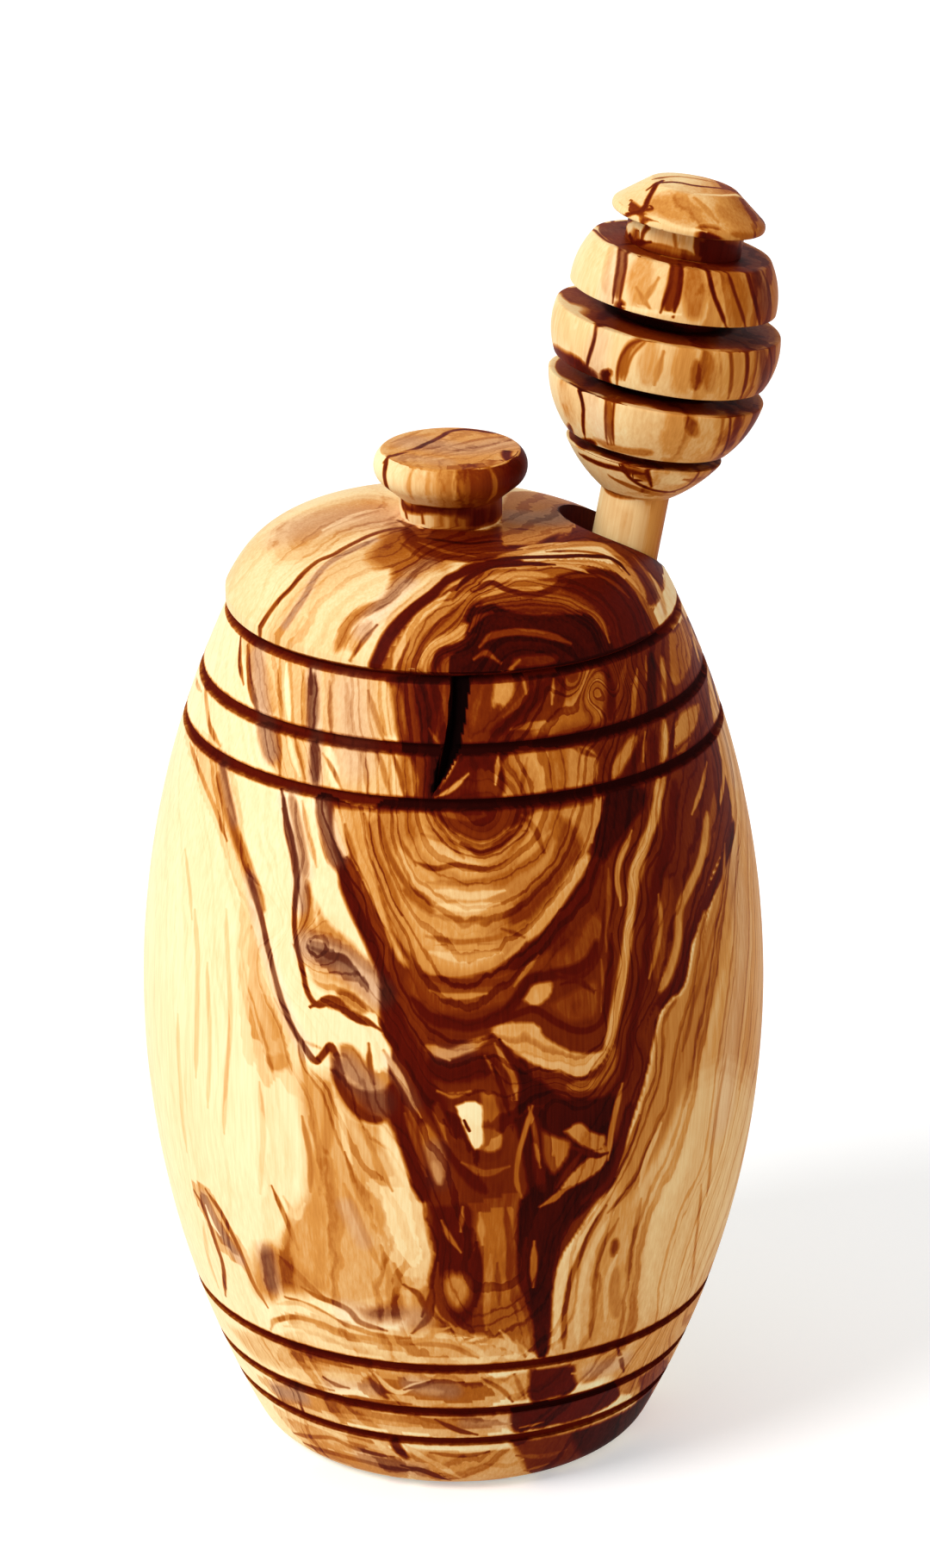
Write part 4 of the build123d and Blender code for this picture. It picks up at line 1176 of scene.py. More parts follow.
crownRings = {
    1: "300,700 330,650 370,620 400,602 440,590",
    2: "307,736 325,695 352,666 390,642 430,621 470,612",
    3: "345,760 360,735 375,700 400,680 430,665 470,652",
    4: "390,764 398,742 415,714 430,704 456,690 468,676 482,663 505,650 540,640 590,637 640,627 700,621 "
        "746,640 768,668",
    5: "438,766 447,748 458,732 470,718 485,703 500,691 515,676 535,666 560,656 606,652 650,646 700,646 "
        "730,664 750,692 760,722",
    6: "480,778 488,755 500,735 517,718 538,700 556,684 600,662 650,660 690,668 720,690 738,716 744,745",
    7: "492,772 502,753 514,745 532,735 541,724 556,697 590,684 640,686 680,700 708,728 716,752",
    8: "505,778 513,758 532,750 548,740 556,718 580,702 620,698 655,705 690,728 704,765",
    9: "562,760 572,739 590,734 615,734 638,737 670,750",
    10: "600,765 630,765",
}
crownAsh = (
    (0.55, 110, "350,610 400,600 450,600"),
    (0.9, 16, "436,626 405,640 384,652 368,668 357,688 345,706 333,724"),
    (0.75, 34, "474,676 446,704 424,730"), (1, 60, "604,600 650,600 690,606"), (0.4, 30, "500,652 480,664"),
    (0.45, 20, "760,680 770,710"),
)
knobLines = (
    # side, neck and top; the dark band under the knob's edge and the dark right side of its neck are partly
    # painted shade
    (0.05, 16, "444,532 440,550 444,568"), (0.32, 6, "514,552 514,582"), (0.3, 6, "530,550 530,575"),
    (0.62, 6, "550,550 549,582"), (0.52, 6, "571,546 570,580"), (0.22, 5, "480,548 480,577"),
    (0.3, 5, "500,546 500,580"), (0.46, 6, "537,548 536,582"), (0.8, 6, "590,545 588,575"),
    (0.76, 12, "453,577 470,585 500,590 540,592 575,590 604,577"), (0.83, 40, "560,600 556,618"),
    (0.83, 30, "575,598 573,616"), (0.48, 12, "530,600 530,617"), (0.36, 14, "513,600 513,617"),
    (0.6, 5, "492,598 492,616"), (0.62, 6, "471,586 471,614"), (0.36, 10, "455,520 480,508 500,503"),
    (0.42, 6, "460,512 475,506 490,500"), (0.42, 7, "530,516 560,509 590,506"),
    (0.38, 6, "500,530 540,521 580,514"), (0.22, 8, "510,532 525,530"), (0.42, 6, "590,512 602,507"),
    (0.36, 6, "470,524 500,520 520,516"), (0.35, 6, "520,528 560,524 596,516"),
    (0.7, 7, "451,531 462,527 485,520 500,513 515,505 525,500 545,498 580,501"),
    (0.7, 7, "452,530 449,540 448,550 450,562 453,576"),
)
knobRings = {
    1.9: "440,552 444,530 470,506 500,500",
    2: "471,588 471,610 453,531 449,550 453,574 462,527 485,520 500,513 515,505 525,500",
    2.1: "490,545 490,578 500,530 540,521 580,514 492,598 492,614",
    2.4: "520,546 520,583 520,600 520,616 520,537 560,532 600,520",
    2.6: "560,545 560,584 560,600 560,614",
    2.8: "598,535 596,576",
}
knobAsh = (
    (0.6, 60, "480,512 540,520 590,514"), (0.4, 30, "470,530 520,536"),
)


def asPlaced(*spot):
    return spot


def isKnob(spots, above=0.1):
    # close to the knob's axis and above the leaning crown
    crownTop = lid["seam"] + lid["crownHeight"] - math.tan(math.radians(lid["lean"])) * spots[:, 0]
    nearAxis = np.hypot(spots[:, 0] - knob["across"], spots[:, 1]) < knob["radius"] + 0.4
    return nearAxis & (spots[:, 2] > crownTop + above)


def isCrown(spots, above=0.1, overSeam=0.1):
    return ~isKnob(spots, above) & (spots[:, 2] > lid["seam"] + overSeam)


crownTree = woodTree("lid", lambda middles: isCrown(middles, 0.03, 0.05))
knobTree = woodTree("lid", lambda middles: isKnob(middles, 0.03))


def drawnOnCrown(line):
    return drawnOn(crownTree, line)


def drawnOnKnob(line):
    return drawnOn(knobTree, line)


def reachRim(rows, near=2.0, past=3.0):
    # spots near the seam move out past the rim, so that their patch reaches it
    made = []
    for tone, soft, outline in rows:
        ring = np.array(outline)
        low = ring[:, 2] < lid["seam"] + near
        ring[low, :2] *= 1 + past / np.hypot(ring[low, 0], ring[low, 1])[:, None]
        ring[low, 2] -= 1
        made.append((tone, soft, [tuple(spot) for spot in ring]))
    return made


lidSpots = meshPoints(lidPiece)
onKnob, onCrown = isKnob(lidSpots), isCrown(lidSpots)
crownLife = {ring: drawnOnCrown(line) for ring, line in crownRings.items()}
knobLife = {ring: drawnOnKnob(line) for ring, line in knobRings.items()}
lidGrowth = growthField(*figure(crownLife, asPlaced), lidSpots)
lidGrowth[onKnob] = growthField(*figure(knobLife, asPlaced), lidSpots[onKnob])
paint(lidPiece, "growth", lidGrowth)
looseLid = ragged(lidSpots, lid["raggedBy"], lid["raggedSize"])
lidLevels = layStain(looseLid, looseLid[:, :2], lid["insideTone"], (), (), asPlaced)
knobSpots = looseLid[onKnob]
knobTop = lid["seam"] + lid["crownHeight"] + knob["neckLength"] + knob["flareRise"] + knob["sideHeight"]
# painted shade: the knob's side is painted darker towards the right, away from the key light, over the wood's
# own tone
knobBase = np.interp(knobSpots[:, 0] - 0.25 * knobSpots[:, 1], *knob["toneAndShadeAcross"])
knobBase = np.where(knobSpots[:, 2] > knobTop - 0.15, knob["topTone"], knobBase)
knobStreaks, knobThreads = broadAndFine(knobLines, drawnOnKnob)
lidLevels[:, onKnob] = layStain(knobSpots, knobSpots[:, :2], knobBase, (), knobStreaks, asPlaced)
crownStreaks, crownThreads = broadAndFine(crownLines, drawnOnCrown)
crownSpots, crownWashes = looseLid[onCrown], reachRim(drawnRows(crownPatches, drawnOnCrown))
lidLevels[:, onCrown] = layStain(
    crownSpots, crownSpots[:, :2], lid["baseTone"], crownWashes, crownStreaks, asPlaced)
# painted shade: the drilled hole's wall is painted dark
fromHole = np.linalg.norm(np.cross(lidSpots - np.array(holeSeat), np.array(dipperUp)), axis=1)
belowTop = lidSpots[:, 2] < lid["seam"] + lid["crownHeight"] + 1
inHole = np.flatnonzero((fromHole < holeRadius + 0.12) & belowTop)
holeShadeLevels = lidLevels[:, inHole]
wash(holeShadeLevels, np.full(len(inHole), farIn), hole["tone"])
lidLevels[:, inHole] = holeShadeLevels
paintLevels(lidPiece, lidLevels)
crownGrey = haze(lidSpots, drawnRows(crownAsh, drawnOnCrown), asPlaced) * onCrown
knobGrey = haze(lidSpots, drawnRows(knobAsh, drawnOnKnob), asPlaced) * onKnob
paint(lidPiece, "ash", np.maximum(crownGrey, knobGrey))
# painted shade: the lid's lower edge is darkened along the seam with the pot
seamShade = np.clip(1 - (lidSpots[:, 2] - lid["seam"] - 0.45) / charAndShade["seamFades"], 0, 1)
paint(lidPiece, "charAndShade", seamShade * (np.hypot(lidSpots[:, 0], lidSpots[:, 1]) > lid["spigotRadius"] + 1.5))
crownFine = threads(lidPiece, looseLid, crownThreads, asPlaced)
knobFine = threads(lidPiece, looseLid, knobThreads, asPlaced)
paintThreads(lidPiece, [[np.where(onKnob, ofKnob, ofCrown) for ofKnob, ofCrown in zip(*pair)]
                        for pair in zip(knobFine, crownFine)])

# the broad washes on each ring get darker towards the right: partly the wood, partly painted shade away from
# the key light
dipperLines = (
    # cap
    (0.24, 50, "771.1,238.7 818.1,250.4"), (0.12, 32.3, "733,226.9 736,238.7"),
    (0.14, 4.7, "818.1,226.3 841.5,227.5 862.1,228.7"), (0.4, 32.3, "847.4,248.9 876.7,265"),
    (0.5, 10, "856.2,273.8 879.6,276.8 888.4,268"), (0.34, 6, "823.9,268 853.3,276.8"),
    (0.46, 4.7, "769.7,207 788.7,205.2 812.2,208.2 835.7,212.8"),
    (0.12, 4.7, "762.3,253.3 794.6,265 812.2,268"), (0.36, 9, "818.1,238.7 829.8,250.4"),
    (0.72, 5, "765.3,212.8 788.7,211.7 809.3,215.8 829.8,218.1 853.3,221.3"),
    (0.7, 6, "739.5,246.3 747.7,245.1 752.1,241 755.9,231.3 762.3,219.6 768.8,211.7"),
    (0.66, 9, "741.2,246 750,243.9"), (0.68, 8, "840.1,214.6 845.9,219.3 853.3,221.1"),
    # neck, under the cap; its dark right side is partly painted shade
    (0.1, 12, "738.3,262.1 743.3,269.4"), (0.6, 4.7, "729.5,253.3 730.1,265 736,276.8"),
    (0.6, 5, "751.2,256.8 752.1,268 749.1,279.7"), (0.2, 17.6, "765.3,273.8 800.5,281.2"),
    (0.88, 35, "826.9,276.8 841.5,297.3 862.1,297.3"), (0.86, 17.6, "818.1,288.5 823.9,303.2"),
    (0.55, 15, "879.6,300.2 897.2,309"), (0.44, 4.7, "785.8,273.8 787.3,288.5"),
    (0.62, 8, "812.2,276.8 812.2,294.4"), (0.8, 5, "727.2,284.4 738.9,282.6 750.6,282.1"),
    (0.66, 6, "747.7,289.1 777,296.7 803.4,303.2"), (0.42, 7, "747.7,283.2 777,289.1 806.3,297.3"),
    # top of the first ring, left, under the cap: darker, partly painted shade
    (0.54, 26.4, "697.8,256.8 712.5,265 724.2,273.8"), (0.66, 4, "693.4,266.8 712.5,282.1 730.1,283.2"),
    (0.62, 4, "697.8,252.1 712.5,250.4 728.6,251.6"),
    # first ring
    (0.12, 38, "697.8,279.7 686.1,306.1 680.2,317.8"), (0.16, 12, "712.5,291.4 706.6,332.5"),
    (0.5, 10, "725.7,291.4 724.8,309 719.8,339.8"), (0.66, 3.5, "723,289.1 721.3,309 714.8,340.7"),
    (0.66, 3.5, "733.6,290.9 728.6,312 722.8,344.2"), (0.28, 32.3, "750.6,303.2 744.8,344.2"),
    (0.38, 8, "747.7,344.2 753.5,353"), (0.34, 7, "762.3,332.5 753.5,347.2"),
    (0.56, 15, "788.7,312 784.3,335.4 779.9,356"), (0.74, 4.7, "783.5,312 779.9,332.5 773.5,353"),
    (0.76, 6, "794,312 791.7,335.4 787.3,357.7"), (0.36, 29, "809.3,314.9 809.3,358.9"),
    (0.38, 3, "806.3,317.8 804,356"), (0.76, 4.7, "825.7,315.5 832.7,344.2 843.3,372.1"),
    (0.52, 32.3, "856.2,320.8 862.1,370.6"), (0.56, 26.4, "879.6,320.8 891.4,370.6"),
    (0.74, 4.7, "853.3,326.6 859.1,347.2 866.5,372.1"), (0.78, 6, "870.9,317.8 878.2,344.2 885.5,372.1"),
    (0.64, 4, "889.9,317.8 897.2,344.2"), (0.44, 9, "844.5,326.6 850.3,367.7"),
    (0.7, 12, "835.7,313.4 876.7,314.9"), (0.1, 4, "736,358.9 765.3,363.3 782.9,365.3"),
    # top of the second ring: darker, partly painted shade under the ring above
    (0.62, 29, "656.8,335.4 677.3,348.6 700.8,361.8"), (0.84, 13, "700.8,370.6 712.5,361.8 724.2,356"),
    (0.66, 15, "724.2,367.7 741.8,379.4"), (0.78, 17.6, "747.7,375 782.9,385.3"),
    # second ring
    (0.1, 47, "665.6,356 662.6,402.9"), (0.14, 26.4, "706.6,385.3 703.7,426.3"),
    (0.62, 3.5, "697.2,378.2 692,397 685.5,421.1"), (0.44, 10, "741.8,397.6 730.1,408.7 724.8,435.1"),
    (0.62, 3.5, "747.7,397 736,399.9 724.8,411.7 719.8,429.3 719.2,439.5"),
    (0.48, 3.5, "750,400.5 736,414.6 730.1,432.2"), (0.24, 26.4, "759.4,405.8 753.5,438.1"),
    (0.34, 9, "771.1,420.5 765.3,438.1"), (0.26, 35, "800.5,411.7 794.6,443.9"),
    (0.46, 12, "812.2,426.3 809.3,446.9"), (0.34, 17.6, "823.9,414.6 826.9,449.8"),
    (0.58, 5, "850.9,410.2 850.3,454.2"), (0.74, 5, "868.5,409.3 866.5,454.2"),
    (0.4, 12, "859.1,411.7 857.7,452.7"), (0.54, 17.6, "888.4,408.7 885.5,449.8"),
    (0.7, 3.5, "896.7,408.7 895.8,441"), (0.36, 2.3, "838.6,414.6 838.6,452.7"),
    # top of the third ring: darker, partly painted shade under the ring above
    (0.7, 26.4, "645,411.7 665.6,423.4 686.1,435.1"), (0.88, 13, "684.6,448.3 694.9,439.5 708.1,433.7"),
    (0.8, 15, "706.6,441 736,452.7"),
    # third ring
    (0.16, 32.3, "656.8,443.9 662.6,482.1"), (0.78, 4.7, "676.7,451.3 678.8,473.3 680.2,502.6"),
    (0.12, 21, "692,458.6 692,505.5"), (0.5, 9, "711,465.9 710.7,508.4"), (0.64, 3, "706.6,465 706,507.9"),
    (0.68, 3, "716,468.9 714.5,509"), (0.22, 44, "750.6,476.2 747.7,514.3"),
    (0.3, 35, "788.7,485 785.8,520.2"), (0.46, 15, "803.4,490.9 809.3,502.6"),
    (0.3, 17.6, "823.9,487.9 821,523.1"), (0.52, 4, "840.9,486.5 831.3,526"),
    (0.56, 12, "859.1,486.5 850.3,520.2"), (0.6, 15, "878.2,485 867.9,505.5"),
    (0.72, 3, "850.3,487.9 843,523.1"), (0.4, 12, "697.8,512.8 724.2,523.1 753.5,526"),
    # fourth ring
    (0.86, 15, "677.3,514.3 689,514.3"), (0.74, 12, "664.1,496.7 672.9,508.4"),
    (0.74, 6.5, "692,518.7 718.4,530.4 747.7,538.4"), (0.12, 17.6, "686.1,529 712.5,549.5"),
    (0.48, 17.6, "736,543.6 750.6,555.4"), (0.76, 4, "727.2,543 733,555.4 747.7,564.8 777,572.4"),
    (0.74, 4.7, "753.5,542.2 757.1,559.8"), (0.16, 21, "771.1,555.4 794.6,558.3"),
    (0.52, 9, "803.4,558.3 829.8,553.9"), (0.66, 4, "778.5,572.4 800.5,564.8 812.2,551"),
    (0.44, 9, "718.4,558.3 747.7,570 777,575.9"),
    # handle
    (0.36, 9, "700.8,567.1 736,578.8 774.1,580.3"), (0.56, 4.7, "695.5,570 691.4,590.6 689,611.1"),
    (0.14, 21, "718.4,584.7 724.2,602.3"), (0.38, 6, "706.6,611.1 736,617"),
    (0.36, 15, "765.3,584.7 756.5,637.5"), (0.4, 3.5, "741.8,590.6 736,637.5"),
)
dipperAsh = (
    (0.5, 40, "724,300 708,345"), (0.4, 40, "884,315 892,350"), (0.5, 40, "700,395 692,432"),
    (0.45, 40, "688,460 700,502"), (0.5, 30, "705,270 722,262"), (0.35, 30, "880,405 888,440"),
)

dipperTree = woodTree("honey_dipper", lambda middles: middles[:, 2] > dipper["drawnAbove"])


def drawnOnDipper(line):
    return drawnOn(dipperTree, line)


dipperSpots = meshPoints(dipperPiece)
axisPoint = np.array(dipperTip)
along = (dipperSpots - axisPoint) @ np.array(dipperUp)
fromAxis = np.linalg.norm(dipperSpots - axisPoint - along[:, None] * np.array(dipperUp), axis=1)
across = dipperSpots[:, 0] - (axisPoint[0] + along * dipperUp[0])
paint(dipperPiece, "growth", 1 + across * 0.05 + 0.03 * dipperSpots[:, 1])
# painted shade: the dipper is painted darker towards its right side, away from the key light
dipperBase = np.interp(across / np.maximum(fromAxis, 4.0), *dipper["toneAndShadeAcross"])
shelf = handleLength + dipper["coneHeight"]
shelves = [(shelf, dipper["coneRadius"])]
for gap, thickness, lowRadius, middleRadius, highRadius in dipper["rings"]:
    shelf += gap + thickness
    shelves.append((shelf, highRadius))
# painted shade: each ring's top face, under the ring or cap above, is painted darker
for level, reach in shelves:
    onShelf = (np.abs(along - level) < 0.12) & (fromAxis < reach - 0.5)
    dipperBase = np.where(onShelf, dipper["shelfToneAndShade"], dipperBase)
looseDipper = ragged(dipperSpots, dipper["raggedBy"], dipper["raggedSize"])
dipperStreaks, dipperThreads = broadAndFine(dipperLines, drawnOnDipper)
paintLevels(dipperPiece, layStain(
    looseDipper, looseDipper[:, :2], dipperBase, (), dipperStreaks, asPlaced, 0.5))
paintThreads(dipperPiece, threads(dipperPiece, looseDipper, dipperThreads, asPlaced, 0.7))
paint(dipperPiece, "ash", haze(dipperSpots, drawnRows(dipperAsh, drawnOnDipper), asPlaced))
# char and painted shade: the dipper's grooves are painted dark close to the core, deep between the rings
inGrooves = (along > handleLength + 6.5) & (along < shelf - 0.4)
paint(dipperPiece, "charAndShade", np.clip((10.2 - fromAxis) / 2.4, 0, 1) * inGrooves)
print("figure laid out")


def addNode(tree, kind, **settings):
    node = tree.nodes.new(kind)
    for key, value in settings.items():
        if hasattr(node, key) and key not in node.inputs:
            setattr(node, key, value)
        else:
            node.inputs[key].default_value = value
    return node


def mathNode(tree, operation, first, second=None, clamp=False):
    node = tree.nodes.new("ShaderNodeMath")
    node.operation = operation
    node.use_clamp = clamp
    for slot, value in enumerate((first, second)):
        if value is None:
            continue
        if isinstance(value, (int, float)):
            node.inputs[slot].default_value = value
        else:
            tree.links.new(value, node.inputs[slot])
    return node.outputs[0]


def mapRange(tree, source, low, high, toLow=0.0, toHigh=1.0, soft=False):
    node = addNode(tree, "ShaderNodeMapRange", interpolation_type="SMOOTHSTEP" if soft else "LINEAR")
    for key, value in zip(("From Min", "From Max", "To Min", "To Max"), (low, high, toLow, toHigh)):
        node.inputs[key].default_value = value
    tree.links.new(source, node.inputs[0])
    return node.outputs[0]


def setRamp(node, stops):
    ramp = node.color_ramp
    while len(ramp.elements) > 1:
        ramp.elements.remove(ramp.elements[-1])
    ramp.elements[0].position = stops[0][0]
    for position, _ in stops[1:]:
        ramp.elements.new(position)
    for element, (_, colour) in zip(ramp.elements, stops):
        element.color = colour if len(colour) == 4 else (*colour, 1)


def plain(red, green, blue):
    # screen colour, 0 to 255, as the linear value that a socket takes
    return tuple((c / 255 / 12.92) if c / 255 <= 0.04045 else ((c / 255 + 0.055) / 1.055) ** 2.4
                 for c in (red, green, blue)) + (1.0,)


woodTones = (
    (0.00, plain(253, 240, 188)), (0.14, plain(244, 204, 142)), (0.30, plain(215, 146, 69)),
    (0.46, plain(174, 94, 23)), (0.62, plain(126, 45, 6)), (0.80, plain(88, 14, 3)), (1.00, plain(38, 4, 2)),
)

ashTones = (
    (0.00, plain(250, 232, 200)), (0.18, plain(232, 190, 155)), (0.34, plain(190, 145, 112)),
    (0.50, plain(132, 92, 68)), (0.66, plain(92, 46, 30)), (1.00, plain(34, 10, 7)),
)


def makeWood(name, look):
    wood = bpy.data.materials.new(name)
    wood.use_nodes = True
    tree = wood.node_tree
    tree.nodes.clear()
    link = tree.links.new
    out = tree.nodes.new("ShaderNodeOutputMaterial")
    skin = tree.nodes.new("ShaderNodeBsdfPrincipled")
    link(skin.outputs[0], out.inputs[0])
    coords = tree.nodes.new("ShaderNodeTexCoord")

    def grainSpace(stretch):
        node = addNode(tree, "ShaderNodeMapping", vector_type="TEXTURE")
        node.inputs["Location"].default_value = look["grainFrom"]
        node.inputs["Rotation"].default_value = look["grainTurn"]
        node.inputs["Scale"].default_value = (mm, mm, mm * stretch)
        link(coords.outputs["Object"], node.inputs["Vector"])
        return node.outputs[0]

    def cloud(space, scale, detail=3.0, rough=0.55):
        node = addNode(tree, "ShaderNodeTexNoise", Scale=scale, Detail=detail, Roughness=rough)
        link(space, node.inputs["Vector"])
        return node.outputs[0]

    def ringNoise(value, scale, detail=2.0):
        node = addNode(tree, "ShaderNodeTexNoise", noise_dimensions="1D", Scale=scale, Detail=detail)
        link(value, node.inputs["W"])
        return node.outputs[0]

    def painted(name):
        return addNode(tree, "ShaderNodeAttribute", attribute_name=name).outputs["Fac"]

    charAndShadeDepth, grey = painted("charAndShade"), painted("ash")

    # growth rings, made to waver along the grain
    broad = mathNode(tree, "SUBTRACT", cloud(grainSpace(3.0), 0.12, 3.0), 0.5)
    small = mathNode(tree, "SUBTRACT", cloud(grainSpace(2.2), 0.55, 4.0), 0.5)
    rings = mathNode(tree, "ADD", painted("growth"), mathNode(tree, "MULTIPLY", broad, look["waver"]))
    rings = mathNode(tree, "ADD", rings, mathNode(tree, "MULTIPLY", small, look["ripple"]))

    # the laid colour: each level adds its step, with an edge that wanders a little
    laid = None
    wander = mathNode(tree, "SUBTRACT", cloud(grainSpace(2.2), 0.5, 3.0), 0.5)
    wander = mathNode(tree, "MULTIPLY", wander, look["wander"])
    for index, (lighter, darker) in enumerate(zip(woodSteps, woodSteps[1:])):
        level = mathNode(tree, "ADD", painted(f"level{index + 1}"), wander)
        step = mapRange(tree, level, -edgeBlur, edgeBlur, 0.0, darker - lighter)
        laid = step if laid is None else mathNode(tree, "ADD", laid, step)
    laid = mathNode(tree, "ADD", laid, woodSteps[0])

    # fine lines, crisp at any mesh size
    shiver = mathNode(tree, "SUBTRACT", cloud(grainSpace(2.0), 0.9, 3.0), 0.5)
    shiver = mathNode(tree, "MULTIPLY", shiver, look["shiver"])
    for index in range(threadSets):
        across, away, half, lineTone = (painted(f"{name}{index + 1}") for name in threadNames)
        offLine = mathNode(tree, "ABSOLUTE", mathNode(tree, "ADD", across, shiver))
        inLine = mathNode(tree, "SUBTRACT", half, offLine)
        past = mathNode(tree, "SUBTRACT", away, mathNode(tree, "MULTIPLY", half, 0.6))
        core = mapRange(tree, inLine, *look["lineCore"], soft=True)
        keep = mapRange(tree, past, *look["lineEnd"], 1.0, 0.0, soft=True)
        drawn = addNode(tree, "ShaderNodeMix", data_type="FLOAT")
        link(mathNode(tree, "MULTIPLY", core, keep), drawn.inputs[0])
        link(laid, drawn.inputs[2])
        link(lineTone, drawn.inputs[3])
        laid = drawn.outputs[0]
    lineSpread = tree.nodes.new("ShaderNodeValToRGB")
    setRamp(lineSpread, [(tone, (depth, depth, depth)) for tone, depth in look["lineDepth"]])
    link(laid, lineSpread.inputs[0])

    thin = mapRange(tree, ringNoise(rings, look["thinRings"], 1.0), *look["thinEdge"], soft=True)
    bands = mathNode(tree, "SUBTRACT", ringNoise(rings, look["broadRings"]), 0.5)
    bands = mathNode(tree, "MULTIPLY", bands, look["bandDepth"])
    bands = mathNode(tree, "MULTIPLY", bands, lineSpread.outputs[0])
    lines = mathNode(tree, "MULTIPLY", thin, lineSpread.outputs[0])

    # fibres and cloudy patches
    fibres = mathNode(tree, "SUBTRACT", cloud(grainSpace(28.0), 2.6, 3.0, 0.6), 0.5)
    clouds = mathNode(tree, "SUBTRACT", cloud(grainSpace(2.5), 0.09, 4.0, 0.6), 0.5)
    tone = mathNode(tree, "ADD", laid, mathNode(tree, "MULTIPLY", lines, look["thinDepth"]))
    tone = mathNode(tree, "ADD", tone, bands)
    tone = mathNode(tree, "ADD", tone, mathNode(tree, "MULTIPLY", fibres, look["fibreDepth"]))
    tone = mathNode(tree, "ADD", tone, mathNode(tree, "MULTIPLY", clouds, look["cloudDepth"]))

    # burnt grooves, and painted shade in the check, along the seam and deep in the dipper's grooves: the wood
    # under them shows a little in the dark
    charAndShadeEdge = mathNode(tree, "SUBTRACT", cloud(grainSpace(1.0), 0.9, 3.0), 0.5)
    charAndShadeEdge = mathNode(tree, "MULTIPLY", charAndShadeEdge, look["charAndShadeWander"])
    charAndShadeMix = mapRange(tree, mathNode(tree, "ADD", charAndShadeDepth, charAndShadeEdge), *look["charAndShadeEdge"], soft=True)
    charAndShadeMixed = addNode(tree, "ShaderNodeMix", data_type="FLOAT")
    link(charAndShadeMix, charAndShadeMixed.inputs[0])
    link(tone, charAndShadeMixed.inputs[2])
    charAndShadeTone = mathNode(tree, "ADD", mathNode(tree, "MULTIPLY", tone, look["charAndShadeShare"]), look["charAndShadeTone"])
    link(charAndShadeTone, charAndShadeMixed.inputs[3])
    tone = charAndShadeMixed.outputs[0]

    colours, greys = (tree.nodes.new("ShaderNodeValToRGB") for _ in range(2))
    setRamp(colours, woodTones)
    setRamp(greys, ashTones)
    link(tone, colours.inputs[0])
    link(tone, greys.inputs[0])
    greyed = addNode(tree, "ShaderNodeMix", data_type="RGBA")
    link(mathNode(tree, "MULTIPLY", grey, look["ashShare"]), greyed.inputs[0])
    link(colours.outputs[0], greyed.inputs[6])
    link(greys.outputs[0], greyed.inputs[7])
    # painted shade: the check is darkened as if no light came back out of it
    shaded = addNode(tree, "ShaderNodeHueSaturation")
    link(greyed.outputs[2], shaded.inputs["Color"])
    link(mapRange(tree, charAndShadeDepth, *look["checkShadeEdge"], 1.0, look["checkShadeValue"]), shaded.inputs["Value"])
    link(shaded.outputs[0], skin.inputs["Base Color"])

    # satin wax over fine open grain
    rough = mapRange(tree, tone, 0.0, 1.0, *look["rough"])
    rough = mathNode(tree, "ADD", rough, mathNode(tree, "MULTIPLY", fibres, 0.12))
    link(mathNode(tree, "ADD", rough, mathNode(tree, "MULTIPLY", charAndShadeMix, 0.3)), skin.inputs["Roughness"])
    skin.inputs["Specular IOR Level"].default_value = look["shine"]
    bump = addNode(tree, "ShaderNodeBump", Strength=0.35, Distance=look["grainHeight"] * mm)
    raised = mathNode(tree, "SUBTRACT", mathNode(tree, "MULTIPLY", fibres, 0.8),
                      mathNode(tree, "MULTIPLY", tone, 0.3))
    link(raised, bump.inputs["Height"])
    link(bump.outputs[0], skin.inputs["Normal"])
    return wood


potLook = {
    "grainFrom": (0, 0, 0), "grainTurn": (0, 0, 0), "waver": 0.7, "ripple": 0.22, "wander": 0.2,
    "lineDepth": ((0.0, 0.12), (0.10, 0.2), (0.22, 0.6), (0.5, 1.0), (0.7, 0.7), (0.9, 0.3)),
    "thinRings": 4.6, "thinEdge": (0.52, 0.64), "thinDepth": 0.2, "broadRings": 1.9, "bandDepth": 0.38,
    "fibreDepth": 0.17, "cloudDepth": 0.13, "lineCore": (-0.24, 0.18), "lineEnd": (0.45, 0.7), "shiver": 0.16,
    "charAndShadeWander": 0.3, "charAndShadeEdge": (0.4, 0.9), "charAndShadeShare": 0.3, "charAndShadeTone": 0.78, "ashShare": 0.85,
    "checkShadeEdge": (1.08, 1.22), "checkShadeValue": 0.12, "rough": (0.36, 0.52), "shine": 0.02,
    "grainHeight": 0.06,
}
lidLook = dict(potLook, thinDepth=0.17, bandDepth=0.3)
dipperLook = dict(potLook, grainFrom=tuple(dipperTip * mm), grainTurn=tuple(dipperTurn.to_euler()))

for piece, node, body, slotName, look in (
        (barrel, "pot_body", "pot", "pot_wood", potLook),
        (lidPiece, "lid", "lid", "lid_wood", lidLook),
        (dipperPiece, "honey_dipper", "dipper", "dipper_wood", dipperLook)):
    piece.data.materials.clear()
    piece.data.materials.append(makeWood(slotName.replace("_", " "), look))
    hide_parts(node)
    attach(piece, body)
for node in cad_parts.values():
    node.data.materials.clear()
    node.data.materials.append(bpy.data.materials["pot wood"])
print("wood finished")

# studio: pale floor, soft key from the upper left, even fill
studio = {
    "key": 2.0, "keyTurn": (48, 0, -52), "keySoft": 24, "fill": 0.62,
    "floorColour": 0.85, "floorGlow": 0.36, "floorSize": 8.0, "floorDrop": 0.0002,
}


def seenRays(tree):
    # what the camera sees, directly or through a shine or a clear thing
    rays = tree.nodes.new("ShaderNodeLightPath")
    seen = mathNode(tree, "MAXIMUM", rays.outputs["Is Camera Ray"], rays.outputs["Is Glossy Ray"])
    return mathNode(tree, "MAXIMUM", seen, rays.outputs["Is Transmission Ray"])


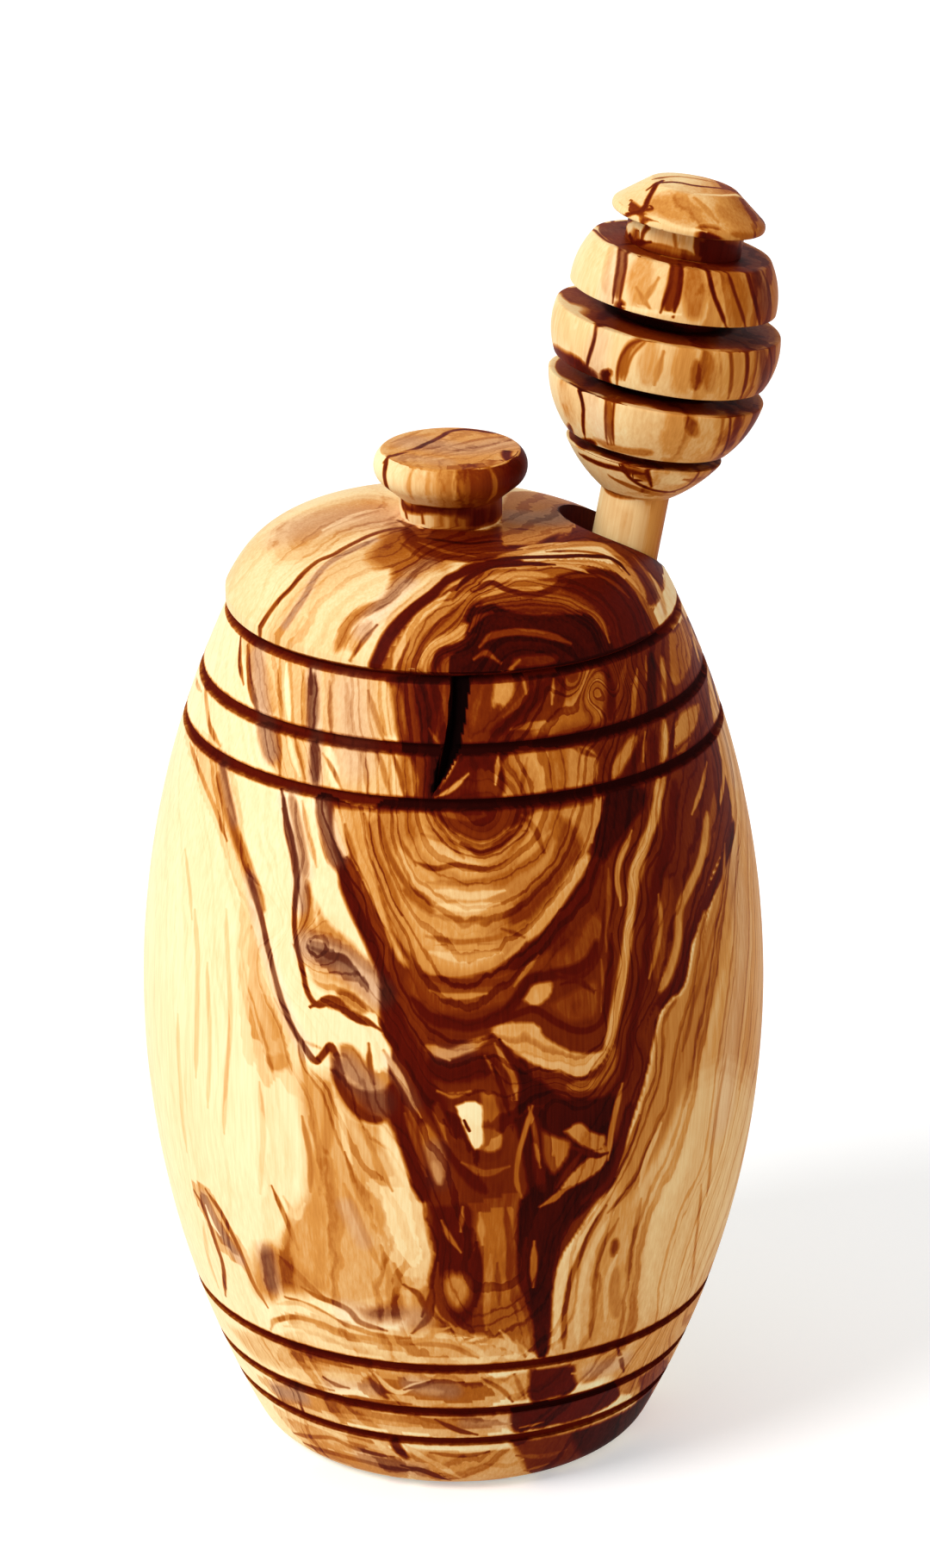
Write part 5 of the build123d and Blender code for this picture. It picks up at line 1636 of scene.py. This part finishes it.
bpy.ops.object.select_all(action="DESELECT")
bpy.ops.mesh.primitive_plane_add(size=studio["floorSize"], location=(0, 0, -studio["floorDrop"]))
floor = bpy.context.object
floor.name = "studio floor"
floorPaint = bpy.data.materials.new("floor paint")
floorPaint.use_nodes = True
floorTree = floorPaint.node_tree
floorTree.nodes.clear()
matt = addNode(floorTree, "ShaderNodeBsdfDiffuse", Color=(studio["floorColour"],) * 3 + (1,))
glow = addNode(floorTree, "ShaderNodeEmission", Color=(1, 1, 1, 1))
floorGlow = mathNode(floorTree, "MULTIPLY", seenRays(floorTree), studio["floorGlow"])
floorTree.links.new(floorGlow, glow.inputs["Strength"])
both = floorTree.nodes.new("ShaderNodeAddShader")
floorOut = floorTree.nodes.new("ShaderNodeOutputMaterial")
floorTree.links.new(matt.outputs[0], both.inputs[0])
floorTree.links.new(glow.outputs[0], both.inputs[1])
floorTree.links.new(both.outputs[0], floorOut.inputs[0])
floor.data.materials.append(floorPaint)

bpy.ops.object.light_add(type="SUN", rotation=tuple(math.radians(a) for a in studio["keyTurn"]))
key = bpy.context.object
key.name = "key light"
key.data.energy = studio["key"]
key.data.angle = math.radians(studio["keySoft"])

scene = bpy.context.scene
world = scene.world or bpy.data.worlds.new("studio")
scene.world = world
world.use_nodes = True
air = world.node_tree
air.nodes.clear()
sky = addNode(air, "ShaderNodeBackground", Color=(1, 1, 1, 1), Strength=studio["fill"])
white = addNode(air, "ShaderNodeBackground", Color=(1, 1, 1, 1), Strength=1.0)
pick = air.nodes.new("ShaderNodeMixShader")
airOut = air.nodes.new("ShaderNodeOutputWorld")
air.links.new(seenRays(air), pick.inputs[0])
air.links.new(sky.outputs[0], pick.inputs[1])
air.links.new(white.outputs[0], pick.inputs[2])
air.links.new(pick.outputs[0], airOut.inputs[0])
scene.view_settings.view_transform = "Standard"

camera = {"lens": 135.71, "sensor": 36, "place": (1.57, -745.3, 384.1), "downward": 21.31}
bpy.ops.object.camera_add(location=tuple(c * mm for c in camera["place"]),
                          rotation=(math.radians(90 - camera["downward"]), 0, 0))
eyePiece = bpy.context.object
eyePiece.name = "camera"
eyePiece.data.lens = camera["lens"]
eyePiece.data.sensor_width = camera["sensor"]
scene.camera = eyePiece
print("studio ready")
